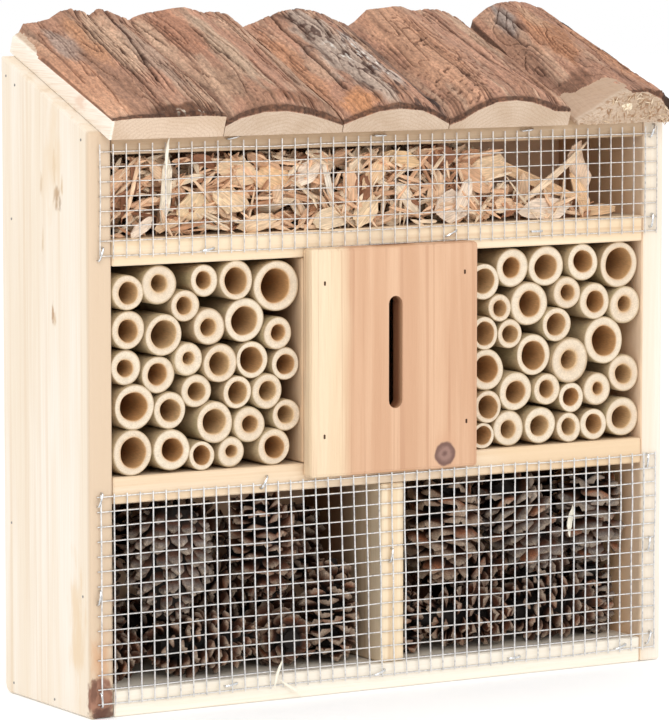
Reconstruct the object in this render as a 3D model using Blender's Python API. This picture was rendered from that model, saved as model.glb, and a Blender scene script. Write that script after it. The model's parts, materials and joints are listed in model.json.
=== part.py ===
"""Insect hotel: a pine box with a bark slab roof, filled with chips, bamboo and pine cones.

Lengths named here are in millimetres and are turned into metres when a mesh is made. The box is
drawn with x from its left side, y from its front and z from the ground, and then moved so that the
origin is at the centre of its footprint. The front faces -Y.
"""

import math
import random

import bmesh
import bpy
from mathutils import Matrix, Vector

MM = 0.001

# The box
WIDTH = 295.0
DEPTH = 80.8
FRONT_HEIGHT = 249.8
BACK_HEIGHT = 280.0
SIDE_THICKNESS = 11.0
SHELF_THICKNESS = 11.5
SHELF_DEPTH = 67.4
LOWER_SHELF_BOTTOM = 91.6
UPPER_SHELF_BOTTOM = 193.1
TOP_BOARD_THICKNESS = 9.0
BACK_PANEL_THICKNESS = 9.0
DIVIDER_LEFT = 144.8
DIVIDER_THICKNESS = 11.9
UPRIGHT_LEFTS = {"left": 104.5, "right": 179.5}
UPRIGHT_THICKNESS = 11.0
CORNER_RADIUS = 4.0
GAP = 0.3

# The board in front of the butterfly chamber
FRONT_LEFT = 104.3
FRONT_RIGHT = 190.3
FRONT_BOTTOM = 97.2
FRONT_TOP = 197.2
FRONT_THICKNESS = 7.7
SLOT_CENTRE = (147.3, 150.3)
SLOT_WIDTH = 7.0
SLOT_HEIGHT = 49.5

# Wire mesh, drawn with wider spaced bars than the real cloth
WIRE = 0.9
UPPER_MESH = {"left": 5.0, "right": 290.7, "bottom": 197.8, "top": 244.5, "columns": 15, "rows": 3}
LOWER_MESH = {"left": 3.0, "right": 291.0, "bottom": 6.5, "top": 96.6, "columns": 15, "rows": 5}

# Roof slabs: outlines of the upper surface, across the roof and up from it
SLAB_FRONT = -8.4
SLAB_BACK = 88.8
SLAB_STATIONS = 4
SLAB_POINTS = 12
ROOF_SLABS = {
    "roof_slab_1": {
        "span": (5.8, 60.7),
        "front": [(5.8, 9.0), (17, 12), (39, 12.5), (51, 12.8), (60.7, 11)],
        "back": [(5.8, 11), (14, 14.5), (24, 17), (32, 20), (42, 18), (48, 19.5), (60.7, 15)],
    },
    "roof_slab_2": {
        "span": (61.0, 119.7),
        "front": [(61, 9), (70, 12.4), (82, 15.4), (90, 15.5), (102, 13.7), (119.7, 7)],
        "back": [(61, 14), (69, 17.6), (88, 20.4), (99, 17.9), (112, 16.2), (119.7, 11)],
    },
    "roof_slab_3": {
        "span": (120.0, 174.3),
        "front": [(120, 6), (134, 12.8), (146, 15.2), (156, 14.5), (166, 10), (174.3, 5)],
        "back": [(120, 9.5), (131, 14.4), (147, 18.7), (162, 15.4), (174.3, 10)],
    },
    "roof_slab_4": {
        "span": (174.6, 237.5),
        "front": [(174.6, 5), (185, 11.1), (194, 15.6), (212, 15.2), (229, 12), (237.5, 7)],
        "back": [(174.6, 9), (184, 17.4), (200, 18.8), (222, 16.8), (237.5, 11)],
    },
    "roof_slab_5": {
        "span": (242.4, 294.8),
        "front": [(242.4, 2), (251, 6.5), (259, 12), (265, 15.6), (279, 16), (294.8, 3.5)],
        "back": [(242.4, 10), (249, 17.2), (263, 20.6), (280, 16.7), (294.8, 8)],
    },
}

# Bamboo tubes as (across, height of the axis, outer diameter, bore), from the inner left bottom
# corner of their compartment
TUBE_SEGMENTS = 14
TUBE_BORE_DEPTH = 55.0
TUBE_BACK = 66.6
LEFT_TUBES = [
    (80, 8, 15.5, 9),
    (10, 10, 19, 12),
    (29, 10, 17.5, 9.5),
    (50.5, 20.5, 17.5, 10.5),
    (28.5, 27, 15, 9),
    (11, 29.5, 19, 12),
    (61.5, 33, 14, 9),
    (53, 46, 16.5, 9.5),
    (69.5, 46.5, 15.5, 10.5),
    (25.5, 59.5, 17.5, 11.5),
    (8.5, 62.5, 16, 9),
    (66, 64, 19, 12),
    (81.5, 78, 21.5, 13.5),
    (61, 81.5, 15.5, 10),
]
RIGHT_TUBES = [
    (39, 9, 16.5, 9),
    (84.5, 10, 17, 9.5),
    (10.5, 19, 14, 9.5),
    (26, 25, 17, 9.5),
    (10.5, 35.5, 17.5, 11),
    (35.5, 41, 18, 12),
    (74, 45.5, 20.5, 12.5),
    (9, 52, 14, 9.5),
    (47.5, 54, 14.5, 9),
    (33, 64, 19, 10.5),
    (8.5, 75, 16, 10.5),
    (82, 79.5, 19.5, 13),
    (24.5, 80.5, 17, 8.5),
    (42.5, 80.5, 17.5, 10.5),
    (61.5, 81.5, 15.5, 9),
]

# Pine cones: centre, length, radius, lean towards +X and turn about the upright
CONE_SEGMENTS = 8
CONE_ROWS = 6
PINE_CONES = {
    "pine_cone_left_1": ((48, 17.5, 62), 50, 14.2, 4, 0),
    "pine_cone_left_2": ((66, 17.5, 25.4), 50, 12.6, 90, 0),
    "pine_cone_left_3": ((94, 17.5, 65), 44, 13, -6, 0),
    "pine_cone_left_4": ((103.5, 27, 24.4), 46, 11.8, 90, 90),
    "pine_cone_left_5": ((129.5, 19, 35), 44, 12.2, 3, 0),
    "pine_cone_left_6": ((25.5, 46, 38), 50, 12, -5, 0),
    "pine_cone_right_1": ((189.5, 19, 65), 44, 15.2, 5, 0),
    "pine_cone_right_2": ((197, 18, 26), 50, 12.6, -90, 0),
    "pine_cone_right_3": ((228.5, 18, 67), 40, 13.6, -32, 0),
    "pine_cone_right_4": ((250, 18.5, 27), 52, 14, 88, 0),
    "pine_cone_right_5": ((266.5, 18, 66), 42, 13.4, -3, 0),
    "pine_cone_right_6": ((268, 48, 38), 46, 13, 6, 0),
}
# Radius along a cone, from its stalk end to its tip
CONE_OUTLINE = [(0.0, 0.55), (0.15, 0.92), (0.35, 1.0), (0.6, 0.88), (0.8, 0.62), (1.0, 0.3)]

# Wood chips: a bed that falls away to the right, with splinters standing out of it
CHIP_BED_COLUMNS = 14
CHIP_BED_ROWS = 3
CHIP_BED_HEIGHT_LEFT = 25.0
CHIP_BED_HEIGHT_RIGHT = 9.0
CHIP_BED_FALLS_AT = 225.0
CHIP_COUNT = 30

ROOF_SLOPE = math.atan2(BACK_HEIGHT - FRONT_HEIGHT, DEPTH)
FOOTPRINT_CENTRE = (WIDTH / 2, 34.82)


def clear_scene():
    for obj in list(bpy.data.objects):
        bpy.data.objects.remove(obj)


def in_frame(x, y, z):
    """A point of the box, in the part's own frame and in metres."""
    return Vector(((x - FOOTPRINT_CENTRE[0]) * MM, (y - FOOTPRINT_CENTRE[1]) * MM, z * MM))


def on_roof(x, along, height):
    """A point measured along the roof's slope from its front edge and square up from it."""
    y = along * math.cos(ROOF_SLOPE) - height * math.sin(ROOF_SLOPE)
    z = FRONT_HEIGHT + along * math.sin(ROOF_SLOPE) + height * math.cos(ROOF_SLOPE)
    return (x, y, z)


def roof_height(y):
    return FRONT_HEIGHT + y * math.tan(ROOF_SLOPE)


def make_material(name, colour, roughness, metallic=0.0):
    material = bpy.data.materials.new(name)
    material.use_nodes = True
    shader = material.node_tree.nodes["Principled BSDF"]
    shader.inputs["Base Color"].default_value = (*colour, 1.0)
    shader.inputs["Roughness"].default_value = roughness
    shader.inputs["Metallic"].default_value = metallic
    return material


def make_object(name, points, faces, material):
    """One named mesh object from box coordinates, with its faces turned outwards."""
    mesh = bpy.data.meshes.new(name)
    shape = bmesh.new()
    corners = [shape.verts.new(in_frame(*point)) for point in points]
    for face in faces:
        shape.faces.new([corners[index] for index in face])
    bmesh.ops.recalc_face_normals(shape, faces=shape.faces)
    shape.to_mesh(mesh)
    shape.free()
    obj = bpy.data.objects.new(name, mesh)
    bpy.context.scene.collection.objects.link(obj)
    if material:
        mesh.materials.append(material)
    return obj


def round_edges(obj, width, segments=1):
    bevel = obj.modifiers.new("round_edges", "BEVEL")
    bevel.width = width * MM
    bevel.segments = segments
    bevel.limit_method = "ANGLE"
    bevel.angle_limit = math.radians(40)


def shade_round(obj, angle=40):
    obj.data.shade_smooth()
    obj.data.set_sharp_from_angle(angle=math.radians(angle))


def make_helper(obj):
    obj.hide_render = True
    obj.display_type = "WIRE"


def boolean(obj, other, operation, self_crossing=False):
    modifier = obj.modifiers.new(operation.lower(), "BOOLEAN")
    modifier.operation = operation
    modifier.solver = "EXACT"
    modifier.use_self = self_crossing
    modifier.object = other
    make_helper(other)


def prism(name, outline, low, high, material):
    """A solid with the (y, z) outline, from x = low to x = high."""
    count = len(outline)
    points = [(low, y, z) for y, z in outline] + [(high, y, z) for y, z in outline]
    faces = [tuple(range(count)), tuple(range(count, 2 * count))]
    for i in range(count):
        j = (i + 1) % count
        faces.append((i, j, count + j, count + i))
    return make_object(name, points, faces, material)


def board(name, low, high, material, edge=0.6, segments=1):
    outline = [(low[1], low[2]), (high[1], low[2]), (high[1], high[2]), (low[1], high[2])]
    obj = prism(name, outline, low[0], high[0], material)
    round_edges(obj, edge, segments)
    return obj


def side_panel(name, left, colour):
    """A side board: the top slopes, and the corner at the back of its foot is rounded off."""
    corner = []
    for step in range(4):
        angle = math.radians(30 * step)
        y = DEPTH - CORNER_RADIUS + CORNER_RADIUS * math.sin(angle)
        z = CORNER_RADIUS - CORNER_RADIUS * math.cos(angle)
        corner.append((y, z))
    outline = [(0, 0)] + corner + [(DEPTH, BACK_HEIGHT), (0, FRONT_HEIGHT)]
    material = make_material(name, colour, 0.62)
    obj = prism(name, outline, left, left + SIDE_THICKNESS, material)
    round_edges(obj, 1.2, 2)
    shade_round(obj)


def inset_board(name, bottom, colour):
    """A board between the sides, level with the box's front edge."""
    low = (SIDE_THICKNESS + GAP, 0, bottom)
    high = (WIDTH - SIDE_THICKNESS - GAP, SHELF_DEPTH, bottom + SHELF_THICKNESS)
    board(name, low, high, make_material(name, colour, 0.6))


def top_board():
    """The sloping board under the slabs. Its upright front face is the rail over the chips."""
    back_y = SHELF_DEPTH + GAP + BACK_PANEL_THICKNESS
    drop = TOP_BOARD_THICKNESS / math.cos(ROOF_SLOPE)
    outline = [
        (0, roof_height(0) - drop),
        (back_y, roof_height(back_y) - drop),
        (back_y, roof_height(back_y)),
        (0, roof_height(0)),
    ]
    material = make_material("top_board", (0.79, 0.64, 0.43), 0.6)
    right = WIDTH - SIDE_THICKNESS - GAP
    obj = prism("top_board", outline, SIDE_THICKNESS + GAP, right, material)
    round_edges(obj, 0.6)


def back_panel():
    """The back board, a little in from the back edges of the sides and under the top board."""
    front_y = SHELF_DEPTH + GAP
    back_y = front_y + BACK_PANEL_THICKNESS
    drop = TOP_BOARD_THICKNESS / math.cos(ROOF_SLOPE) + GAP
    outline = [
        (front_y, 0),
        (back_y, 0),
        (back_y, roof_height(back_y) - drop),
        (front_y, roof_height(front_y) - drop),
    ]
    material = make_material("back_panel", (0.62, 0.44, 0.29), 0.7)
    right = WIDTH - SIDE_THICKNESS - GAP
    obj = prism("back_panel", outline, SIDE_THICKNESS + GAP, right, material)
    round_edges(obj, 0.6)


def standing_board(name, left, thickness, bottom, top, colour):
    low = (left, 0, bottom + GAP)
    high = (left + thickness, SHELF_DEPTH, top - GAP)
    board(name, low, high, make_material(name, colour, 0.6))


def slot_cutter():
    """An upright slot with round ends, run past both faces of the front board."""
    radius = SLOT_WIDTH / 2
    straight = SLOT_HEIGHT / 2 - radius
    outline = []
    for step in range(9):
        angle = math.pi * step / 8
        outline.append((radius * math.cos(angle), straight + radius * math.sin(angle)))
    outline += [(-x, -z) for x, z in outline]
    count = len(outline)
    points = []
    for y in (-FRONT_THICKNESS - 5, 5):
        points += [(SLOT_CENTRE[0] + x, y, SLOT_CENTRE[1] + z) for x, z in outline]
    faces = [tuple(range(count)), tuple(range(count, 2 * count))]
    for i in range(count):
        j = (i + 1) % count
        faces.append((i, j, count + j, count + i))
    return make_object("slot_cutter", points, faces, None)


def butterfly_front():
    low = (FRONT_LEFT, -GAP - FRONT_THICKNESS, FRONT_BOTTOM)
    high = (FRONT_RIGHT, -GAP, FRONT_TOP)
    material = make_material("butterfly_front", (0.78, 0.55, 0.38), 0.6)
    obj = board("butterfly_front", low, high, material, 1.6, 2)
    boolean(obj, slot_cutter(), "DIFFERENCE")
    shade_round(obj)


def bar_edges(low, high, cells):
    """Where each bar of the lattice starts and ends, for evenly spaced bars from low to high."""
    edges = []
    for i in range(cells + 1):
        centre = low + WIRE / 2 + (high - low - WIRE) * i / cells
        edges += [centre - WIRE / 2, centre + WIRE / 2]
    return edges


def wire_mesh(name, panel):
    """A flat welded lattice, as one body, just in front of the boards' front edges."""
    xs = bar_edges(panel["left"], panel["right"], panel["columns"])
    zs = bar_edges(panel["bottom"], panel["top"], panel["rows"])
    ys = (-GAP - WIRE, -GAP)
    points = [(x, y, z) for y in ys for z in zs for x in xs]

    def index(side, i, j):
        return (side * len(zs) + j) * len(xs) + i

    def solid(i, j):
        inside = 0 <= i < len(xs) - 1 and 0 <= j < len(zs) - 1
        return inside and (i % 2 == 0 or j % 2 == 0)

    faces = []
    for j in range(len(zs) - 1):
        for i in range(len(xs) - 1):
            if not solid(i, j):
                continue
            corners = [(i, j), (i + 1, j), (i + 1, j + 1), (i, j + 1)]
            for side in (0, 1):
                faces.append([index(side, *corner) for corner in corners])
            neighbours = [(i, j - 1), (i + 1, j), (i, j + 1), (i - 1, j)]
            for k, neighbour in enumerate(neighbours):
                if solid(*neighbour):
                    continue
                a, b = corners[k], corners[(k + 1) % 4]
                faces.append([index(0, *a), index(0, *b), index(1, *b), index(1, *a)])
    material = make_material(name, (0.72, 0.73, 0.74), 0.35, 1.0)
    make_object(name, points, faces, material)


def outline_height(outline, x):
    """The height of a polyline of (x, height) points at x."""
    for (x0, h0), (x1, h1) in zip(outline, outline[1:]):
        if x <= x1:
            return h0 + (h1 - h0) * (x - x0) / (x1 - x0)
    return outline[-1][1]


def roof_slab(name, shape, rng):
    """A half-round slab of log with its bark on, flat side down on the roof's slope."""
    left, right = shape["span"]
    points = []
    for station in range(SLAB_STATIONS):
        share = station / (SLAB_STATIONS - 1)
        along = SLAB_FRONT + (SLAB_BACK - SLAB_FRONT) * share
        inner = 0 < station < SLAB_STATIONS - 1
        points.append(on_roof(left, along, GAP))
        for i in range(SLAB_POINTS):
            x = left + (right - left) * i / (SLAB_POINTS - 1)
            front = outline_height(shape["front"], x)
            back = outline_height(shape["back"], x)
            height = front + (back - front) * share
            if inner:
                height += rng.uniform(-0.7, 0.7)
            points.append(on_roof(x, along, height))
        points.append(on_roof(right, along, GAP))
    count = SLAB_POINTS + 2
    faces = [tuple(range(count)), tuple(range(len(points) - count, len(points)))]
    for station in range(SLAB_STATIONS - 1):
        for i in range(count):
            a = station * count + i
            b = station * count + (i + 1) % count
            faces.append((a, b, b + count, a + count))
    material = make_material(name, (0.34, 0.19, 0.11), 0.85)
    obj = make_object(name, points, faces, material)
    shade_round(obj, 50)


def ring(x, y, z, radius):
    points = []
    for i in range(TUBE_SEGMENTS):
        angle = 2 * math.pi * i / TUBE_SEGMENTS
        points.append((x + radius * math.cos(angle), y, z + radius * math.sin(angle)))
    return points


def bamboo_tube(name, x, z, outer, bore, rng):
    """A cut length of bamboo with its bore open to the front and closed by a knot behind."""
    front = rng.uniform(0.8, 3.0)
    points = ring(x, TUBE_BACK, z, outer / 2)
    points += ring(x, front, z, outer / 2)
    points += ring(x, front, z, bore / 2)
    points += ring(x, front + TUBE_BORE_DEPTH, z, bore / 2)
    count = TUBE_SEGMENTS
    faces = [tuple(range(count)), tuple(range(3 * count, 4 * count))]
    for row in range(3):
        for i in range(count):
            j = (i + 1) % count
            faces.append((row * count + i, row * count + j, row * count + count + j,
                          row * count + count + i))
    shade = rng.uniform(0.9, 1.05)
    colour = (0.76 * shade, 0.64 * shade, 0.45 * shade)
    obj = make_object(name, points, faces, make_material(name, colour, 0.55))
    shade_round(obj)


def bamboo_tubes(side, wall, tubes, rng):
    floor = LOWER_SHELF_BOTTOM + SHELF_THICKNESS
    for number, (across, height, outer, bore) in enumerate(tubes, 1):
        name = f"bamboo_{side}_{number:02d}"
        bamboo_tube(name, wall + across, floor + height, outer, bore, rng)


def cone_radius(share):
    return outline_height(CONE_OUTLINE, share)


def pine_cone(name, centre, length, radius, lean, turn, rng):
    """A cone of overlapping rows of scales, each row with its lips set between the last ones."""
    turned = Matrix.Rotation(math.radians(turn), 3, "Z") @ Matrix.Rotation(
        math.radians(lean), 3, "Y"
    )
    points = []
    for row in range(CONE_ROWS):
        for lip in (0, 1):
            share = (row + 0.55 * lip) / (CONE_ROWS - 0.45)
            reach = radius * cone_radius(share) * (1.0 if lip else 0.8)
            for i in range(CONE_SEGMENTS):
                out = reach * (1.0 if (i + row) % 2 else 0.86)
                angle = 2 * math.pi * i / CONE_SEGMENTS
                along = length * (share - 0.5)
                local = Vector((out * math.cos(angle), out * math.sin(angle), along))
                points.append(tuple(Vector(centre) + turned @ local))
    count = CONE_SEGMENTS
    rows = 2 * CONE_ROWS
    faces = [tuple(range(count)), tuple(range((rows - 1) * count, rows * count))]
    for row in range(rows - 1):
        for i in range(count):
            j = (i + 1) % count
            faces.append((row * count + i, row * count + j, row * count + count + j,
                          row * count + count + i))
    shade = rng.uniform(0.85, 1.2)
    colour = (0.21 * shade, 0.145 * shade, 0.11 * shade)
    make_object(name, points, faces, make_material(name, colour, 0.85))


def chip_bed_height(x, rng):
    share = min(max((x - CHIP_BED_FALLS_AT) / 25.0, 0.0), 1.0)
    height = CHIP_BED_HEIGHT_LEFT + (CHIP_BED_HEIGHT_RIGHT - CHIP_BED_HEIGHT_LEFT) * share
    return height * rng.uniform(0.75, 1.1)


def chip_box(centre, size, rng):
    """The corners of one splinter, turned at random."""
    turned = (
        Matrix.Rotation(rng.uniform(0, math.pi), 3, "Y")
        @ Matrix.Rotation(rng.uniform(-0.5, 0.5), 3, "Z")
        @ Matrix.Rotation(rng.uniform(-0.9, 0.9), 3, "X")
    )
    corners = []
    for k in (-0.5, 0.5):
        for i, j in ((-0.5, -0.5), (0.5, -0.5), (0.5, 0.5), (-0.5, 0.5)):
            local = Vector((size[0] * i, size[1] * j, size[2] * k))
            corners.append(tuple(Vector(centre) + turned @ local))
    return corners


def wood_chips(rng):
    floor = UPPER_SHELF_BOTTOM + SHELF_THICKNESS + GAP
    left, right = SIDE_THICKNESS + 1.5, WIDTH - SIDE_THICKNESS - 1.5
    front, back = 3.0, SHELF_DEPTH - 1.5
    columns, rows = CHIP_BED_COLUMNS + 1, CHIP_BED_ROWS + 1
    points = []
    for j in range(rows):
        for i in range(columns):
            x = left + (right - left) * i / CHIP_BED_COLUMNS
            y = front + (back - front) * j / CHIP_BED_ROWS
            points.append((x, y, floor + chip_bed_height(x, rng)))
    top_count = len(points)
    points += [(x, y, floor) for x, y, _ in points]
    faces = []
    for j in range(CHIP_BED_ROWS):
        for i in range(CHIP_BED_COLUMNS):
            a = j * columns + i
            face = (a, a + 1, a + 1 + columns, a + columns)
            faces.append(face)
            faces.append(tuple(index + top_count for index in face))
    edge = list(range(columns))
    edge += [j * columns + columns - 1 for j in range(1, rows)]
    edge += [(rows - 1) * columns + i for i in range(columns - 2, -1, -1)]
    edge += [j * columns for j in range(rows - 2, 0, -1)]
    for a, b in zip(edge, edge[1:] + edge[:1]):
        faces.append((a, b, b + top_count, a + top_count))
    material = make_material("wood_chips", (0.72, 0.56, 0.36), 0.75)
    bed = make_object("wood_chips", points, faces, material)
    boolean(bed, splinters(floor, left, right, rng), "UNION", True)


def splinters(floor, left, right, rng):
    """All the splinters as one helper mesh, each sunk into the bed so that they join it."""
    points = []
    faces = []
    for number in range(CHIP_COUNT):
        x = left + 14 + (right - left - 28) * (number + rng.uniform(0.1, 0.9)) / CHIP_COUNT
        full = x < CHIP_BED_FALLS_AT
        height = rng.uniform(19, 22) if full else rng.uniform(8, 11)
        length = rng.uniform(16, 25) if full else rng.uniform(14, 20)
        size = (length, rng.uniform(2.0, 3.5), rng.uniform(6, 11))
        centre = (x, rng.uniform(12, 40), floor + height)
        first = len(points)
        corners = chip_box(centre, size, rng)
        lowest = min(corner[2] for corner in corners)
        lift = max(0.0, floor + 0.5 - lowest)
        points += [(cx, cy, cz + lift) for cx, cy, cz in corners]
        cube = [(0, 1, 2, 3), (4, 5, 6, 7), (0, 1, 5, 4), (1, 2, 6, 5), (2, 3, 7, 6), (3, 0, 4, 7)]
        faces += [tuple(index + first for index in face) for face in cube]
    return make_object("splinters", points, faces, None)


def build():
    clear_scene()
    rng = random.Random(7)
    side_panel("left_side_panel", 0, (0.86, 0.76, 0.6))
    side_panel("right_side_panel", WIDTH - SIDE_THICKNESS, (0.87, 0.78, 0.64))
    inset_board("base_board", 0, (0.86, 0.75, 0.55))
    inset_board("lower_shelf", LOWER_SHELF_BOTTOM, (0.84, 0.7, 0.48))
    inset_board("upper_shelf", UPPER_SHELF_BOTTOM, (0.84, 0.7, 0.48))
    top_board()
    back_panel()
    standing_board("lower_divider", DIVIDER_LEFT, DIVIDER_THICKNESS, SHELF_THICKNESS,
                   LOWER_SHELF_BOTTOM, (0.85, 0.71, 0.5))
    for side, left in UPRIGHT_LEFTS.items():
        standing_board(f"{side}_upright", left, UPRIGHT_THICKNESS,
                       LOWER_SHELF_BOTTOM + SHELF_THICKNESS, UPPER_SHELF_BOTTOM,
                       (0.83, 0.68, 0.46))
    butterfly_front()
    wire_mesh("upper_wire_mesh", UPPER_MESH)
    wire_mesh("lower_wire_mesh", LOWER_MESH)
    for name, shape in ROOF_SLABS.items():
        roof_slab(name, shape, rng)
    bamboo_tubes("left", SIDE_THICKNESS, LEFT_TUBES, rng)
    right_wall = UPRIGHT_LEFTS["right"] + UPRIGHT_THICKNESS
    bamboo_tubes("right", right_wall, RIGHT_TUBES, rng)
    for name, (centre, length, radius, lean, turn) in PINE_CONES.items():
        pine_cone(name, centre, length, radius, lean, turn, rng)
    wood_chips(rng)


build()
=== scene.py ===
"""Looks of the insect hotel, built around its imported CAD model."""

import json
import math
import random

import bpy
import numpy as np
from mathutils import Matrix, Vector


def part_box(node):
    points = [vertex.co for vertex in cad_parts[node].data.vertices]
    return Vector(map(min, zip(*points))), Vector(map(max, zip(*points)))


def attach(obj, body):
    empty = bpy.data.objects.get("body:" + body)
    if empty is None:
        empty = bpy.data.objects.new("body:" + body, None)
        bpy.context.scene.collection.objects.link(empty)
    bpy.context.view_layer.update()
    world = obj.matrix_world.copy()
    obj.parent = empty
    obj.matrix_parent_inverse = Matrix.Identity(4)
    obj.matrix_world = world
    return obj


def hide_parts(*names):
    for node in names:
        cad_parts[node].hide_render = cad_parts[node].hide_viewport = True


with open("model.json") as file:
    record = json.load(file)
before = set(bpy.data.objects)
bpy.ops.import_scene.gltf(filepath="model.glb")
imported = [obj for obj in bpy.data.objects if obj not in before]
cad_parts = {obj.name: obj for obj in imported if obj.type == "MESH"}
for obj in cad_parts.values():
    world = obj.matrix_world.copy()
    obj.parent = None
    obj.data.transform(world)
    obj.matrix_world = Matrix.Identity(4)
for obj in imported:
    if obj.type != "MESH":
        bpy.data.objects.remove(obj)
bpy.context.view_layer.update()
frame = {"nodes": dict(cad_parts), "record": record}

MM = 0.001

# The box is drawn in millimetres from its front left foot: x to the right, y back, z up
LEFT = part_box("left_side_panel")[0][0]
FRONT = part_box("left_side_panel")[0][1]
FRONT_HEIGHT = 249.8
ROOF_SLOPE = math.atan2(30.2, 80.8)
SLAB_FRONT = -8.4
SLAB_BACK = 88.8
BARK_AT_BACK = 3.5
WIDTH = 295.0
# Inner faces left and right of the two compartments with tubes
LEFT_WALLS = (11.0, 104.5)
RIGHT_WALLS = (190.5, 284.0)
FRONT_BOARD_FACE = -8.0
# The outside of the back panel starts behind this depth
BACK_INSIDE = 69.0
WIRE_SIDES = 6
STUDIO_BRIGHTNESS = 1.12


def at(points):
    """Box millimetres as frame metres."""
    return np.asarray(points, float) * MM + (LEFT, FRONT, 0.0)


def in_box(corner):
    """A frame point in metres as box millimetres."""
    return (np.asarray(corner, float) - (LEFT, FRONT, 0.0)) / MM


def node_box(name):
    low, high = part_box(name)
    return in_box(low), in_box(high)


def rgb(red, green, blue):
    """A colour as it looks on screen in the studio, 0 to 255, made linear."""
    channels = np.array([red, green, blue]) / 255.0
    linear = np.where(channels < 0.04045, channels / 12.92, ((channels + 0.055) / 1.055) ** 2.4)
    return linear / STUDIO_BRIGHTNESS


def smooth(low, high, value):
    """Rises softly from 0 at low to 1 at high."""
    share = np.clip((value - low) / (high - low), 0.0, 1.0)
    return share * share * (3.0 - 2.0 * share)


def mixed(first, second, share):
    """Colours from first to second by share, which may hold one number a point."""
    share = np.asarray(share)[..., None]
    return first * (1.0 - share) + second * share


def stacked(*values):
    """Arrays and single numbers side by side, as the columns of one array."""
    return np.stack(np.broadcast_arrays(*values), 1)


def turning(*turns):
    """Turns of so many degrees about named axes as one rotation, the last one done first."""
    total = Matrix.Identity(3)
    for axis, degrees in turns:
        total = total @ Matrix.Rotation(math.radians(degrees), 3, axis)
    return np.array(total)


# ---------------------------------------------------------------- noise


def corner_value(i, j, k, seed):
    h = (i * 73856093) ^ (j * 19349663) ^ (k * 83492791) ^ (seed * 1640531513)
    h = ((h ^ (h >> 13)) * 1274126177) & 0x7FFFFFFF
    h = ((h ^ (h >> 15)) * 668265263) & 0x7FFFFFFF
    return ((h ^ (h >> 16)) & 0xFFFF) / 65535.0


def noise(points, size, seed=0, octaves=1):
    """Smooth noise from 0 to 1 with features of the given size in millimetres."""
    points = np.asarray(points, float) / np.asarray(size, float)
    total = np.zeros(len(points))
    weight = 0.0
    for octave in range(octaves):
        scaled = points * 2.0**octave + 17.3 * octave
        cell = np.floor(scaled).astype(np.int64)
        part = scaled - cell
        part = part * part * (3.0 - 2.0 * part)
        value = 0.0
        for corner in range(8):
            step = np.array([corner & 1, corner >> 1 & 1, corner >> 2 & 1])
            near = np.where(step, part, 1.0 - part).prod(axis=1)
            value = value + near * corner_value(*(cell + step).T, seed + octave)
        total += value * 0.5**octave
        weight += 0.5**octave
    return total / weight


# ---------------------------------------------------------------- shapes


def block(nu, nv, nw):
    """The skin of a box of cells: its points from 0 to 1 each way, and its quads."""
    counts = (nu, nv, nw)
    quads = []
    for axis in range(3):
        a, b = (axis + 1) % 3, (axis + 2) % 3
        p, q = np.meshgrid(np.arange(counts[a]), np.arange(counts[b]), indexing="ij")
        p, q = p.ravel(), q.ravel()
        for end in (0, counts[axis]):
            corners = []
            for dp, dq in ((0, 0), (1, 0), (1, 1), (0, 1)):
                index = [None] * 3
                index[axis], index[a], index[b] = np.full_like(p, end), p + dp, q + dq
                corners.append((index[0] * (nv + 1) + index[1]) * (nw + 1) + index[2])
            if end == 0:
                corners.reverse()
            quads.append(np.stack(corners, 1))
    used, quads = np.unique(np.concatenate(quads), return_inverse=True)
    k = used % (nw + 1)
    j = used // (nw + 1) % (nv + 1)
    i = used // ((nw + 1) * (nv + 1))
    return np.stack([i / nu, j / nv, k / nw], 1), quads.reshape(-1, 4)


def band_faces(rings, sides):
    """Quads between rings of points that follow one another."""
    for row in range(rings - 1):
        for i in range(sides):
            a, b = row * sides + i, row * sides + (i + 1) % sides
            yield a, b, b + sides, a + sides


def lathe(profile, sides):
    """Points and faces of a profile of (radius, height) turned about the z axis, ends closed."""
    angles = np.arange(sides) * 2 * math.pi / sides
    points = [stacked(r * np.cos(angles), r * np.sin(angles), h) for r, h in profile]
    faces = list(band_faces(len(profile), sides))
    last = (len(profile) - 1) * sides
    faces.append(tuple(range(sides - 1, -1, -1)))
    faces.append(tuple(range(last, last + sides)))
    return np.concatenate(points), faces


def strand(path, radius, normal):
    """A round wire along a path that lies in the plane square to normal."""
    path = np.asarray(path, float)
    along = np.gradient(path, axis=0)
    along /= np.linalg.norm(along, axis=1)[:, None]
    side = np.cross(along, normal)
    side /= np.linalg.norm(side, axis=1)[:, None]
    up = np.cross(side, along)
    rings = []
    for i in range(WIRE_SIDES):
        angle = 2 * math.pi * i / WIRE_SIDES
        rings.append(path + radius * (math.cos(angle) * side + math.sin(angle) * up))
    points = np.stack(rings, 1).reshape(-1, 3)
    faces = [(a, d, c, b) for a, b, c, d in band_faces(len(path), WIRE_SIDES)]
    last = (len(path) - 1) * WIRE_SIDES
    faces.append(tuple(range(WIRE_SIDES)))
    faces.append(tuple(range(last + WIRE_SIDES - 1, last - 1, -1)))
    return points, faces


def put(name, data):
    """A new object with this data, in the scene."""
    made = bpy.data.objects.new(name, data)
    bpy.context.scene.collection.objects.link(made)
    return made


class Heap:
    """Many small closed shapes gathered into one piece."""

    def __init__(self):
        self.points, self.faces, self.tints, self.fibres, self.count = [], [], [], [], 0

    def add(self, points, faces, tint=None, fibre=None):
        self.points.append(points)
        self.faces += [tuple(int(i) + self.count for i in face) for face in faces]
        self.count += len(points)
        if tint is not None:
            self.tints.append(np.broadcast_to(tint, (len(points), 3)))
        if fibre is not None:
            self.fibres.append(fibre)

    def make(self, name, materials, **options):
        tints = np.concatenate(self.tints) if self.tints else None
        fibres = np.concatenate(self.fibres) if self.fibres else None
        return make_piece(name, np.concatenate(self.points), self.faces, materials, tints=tints,
                          fibres=fibres, **options)


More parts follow.
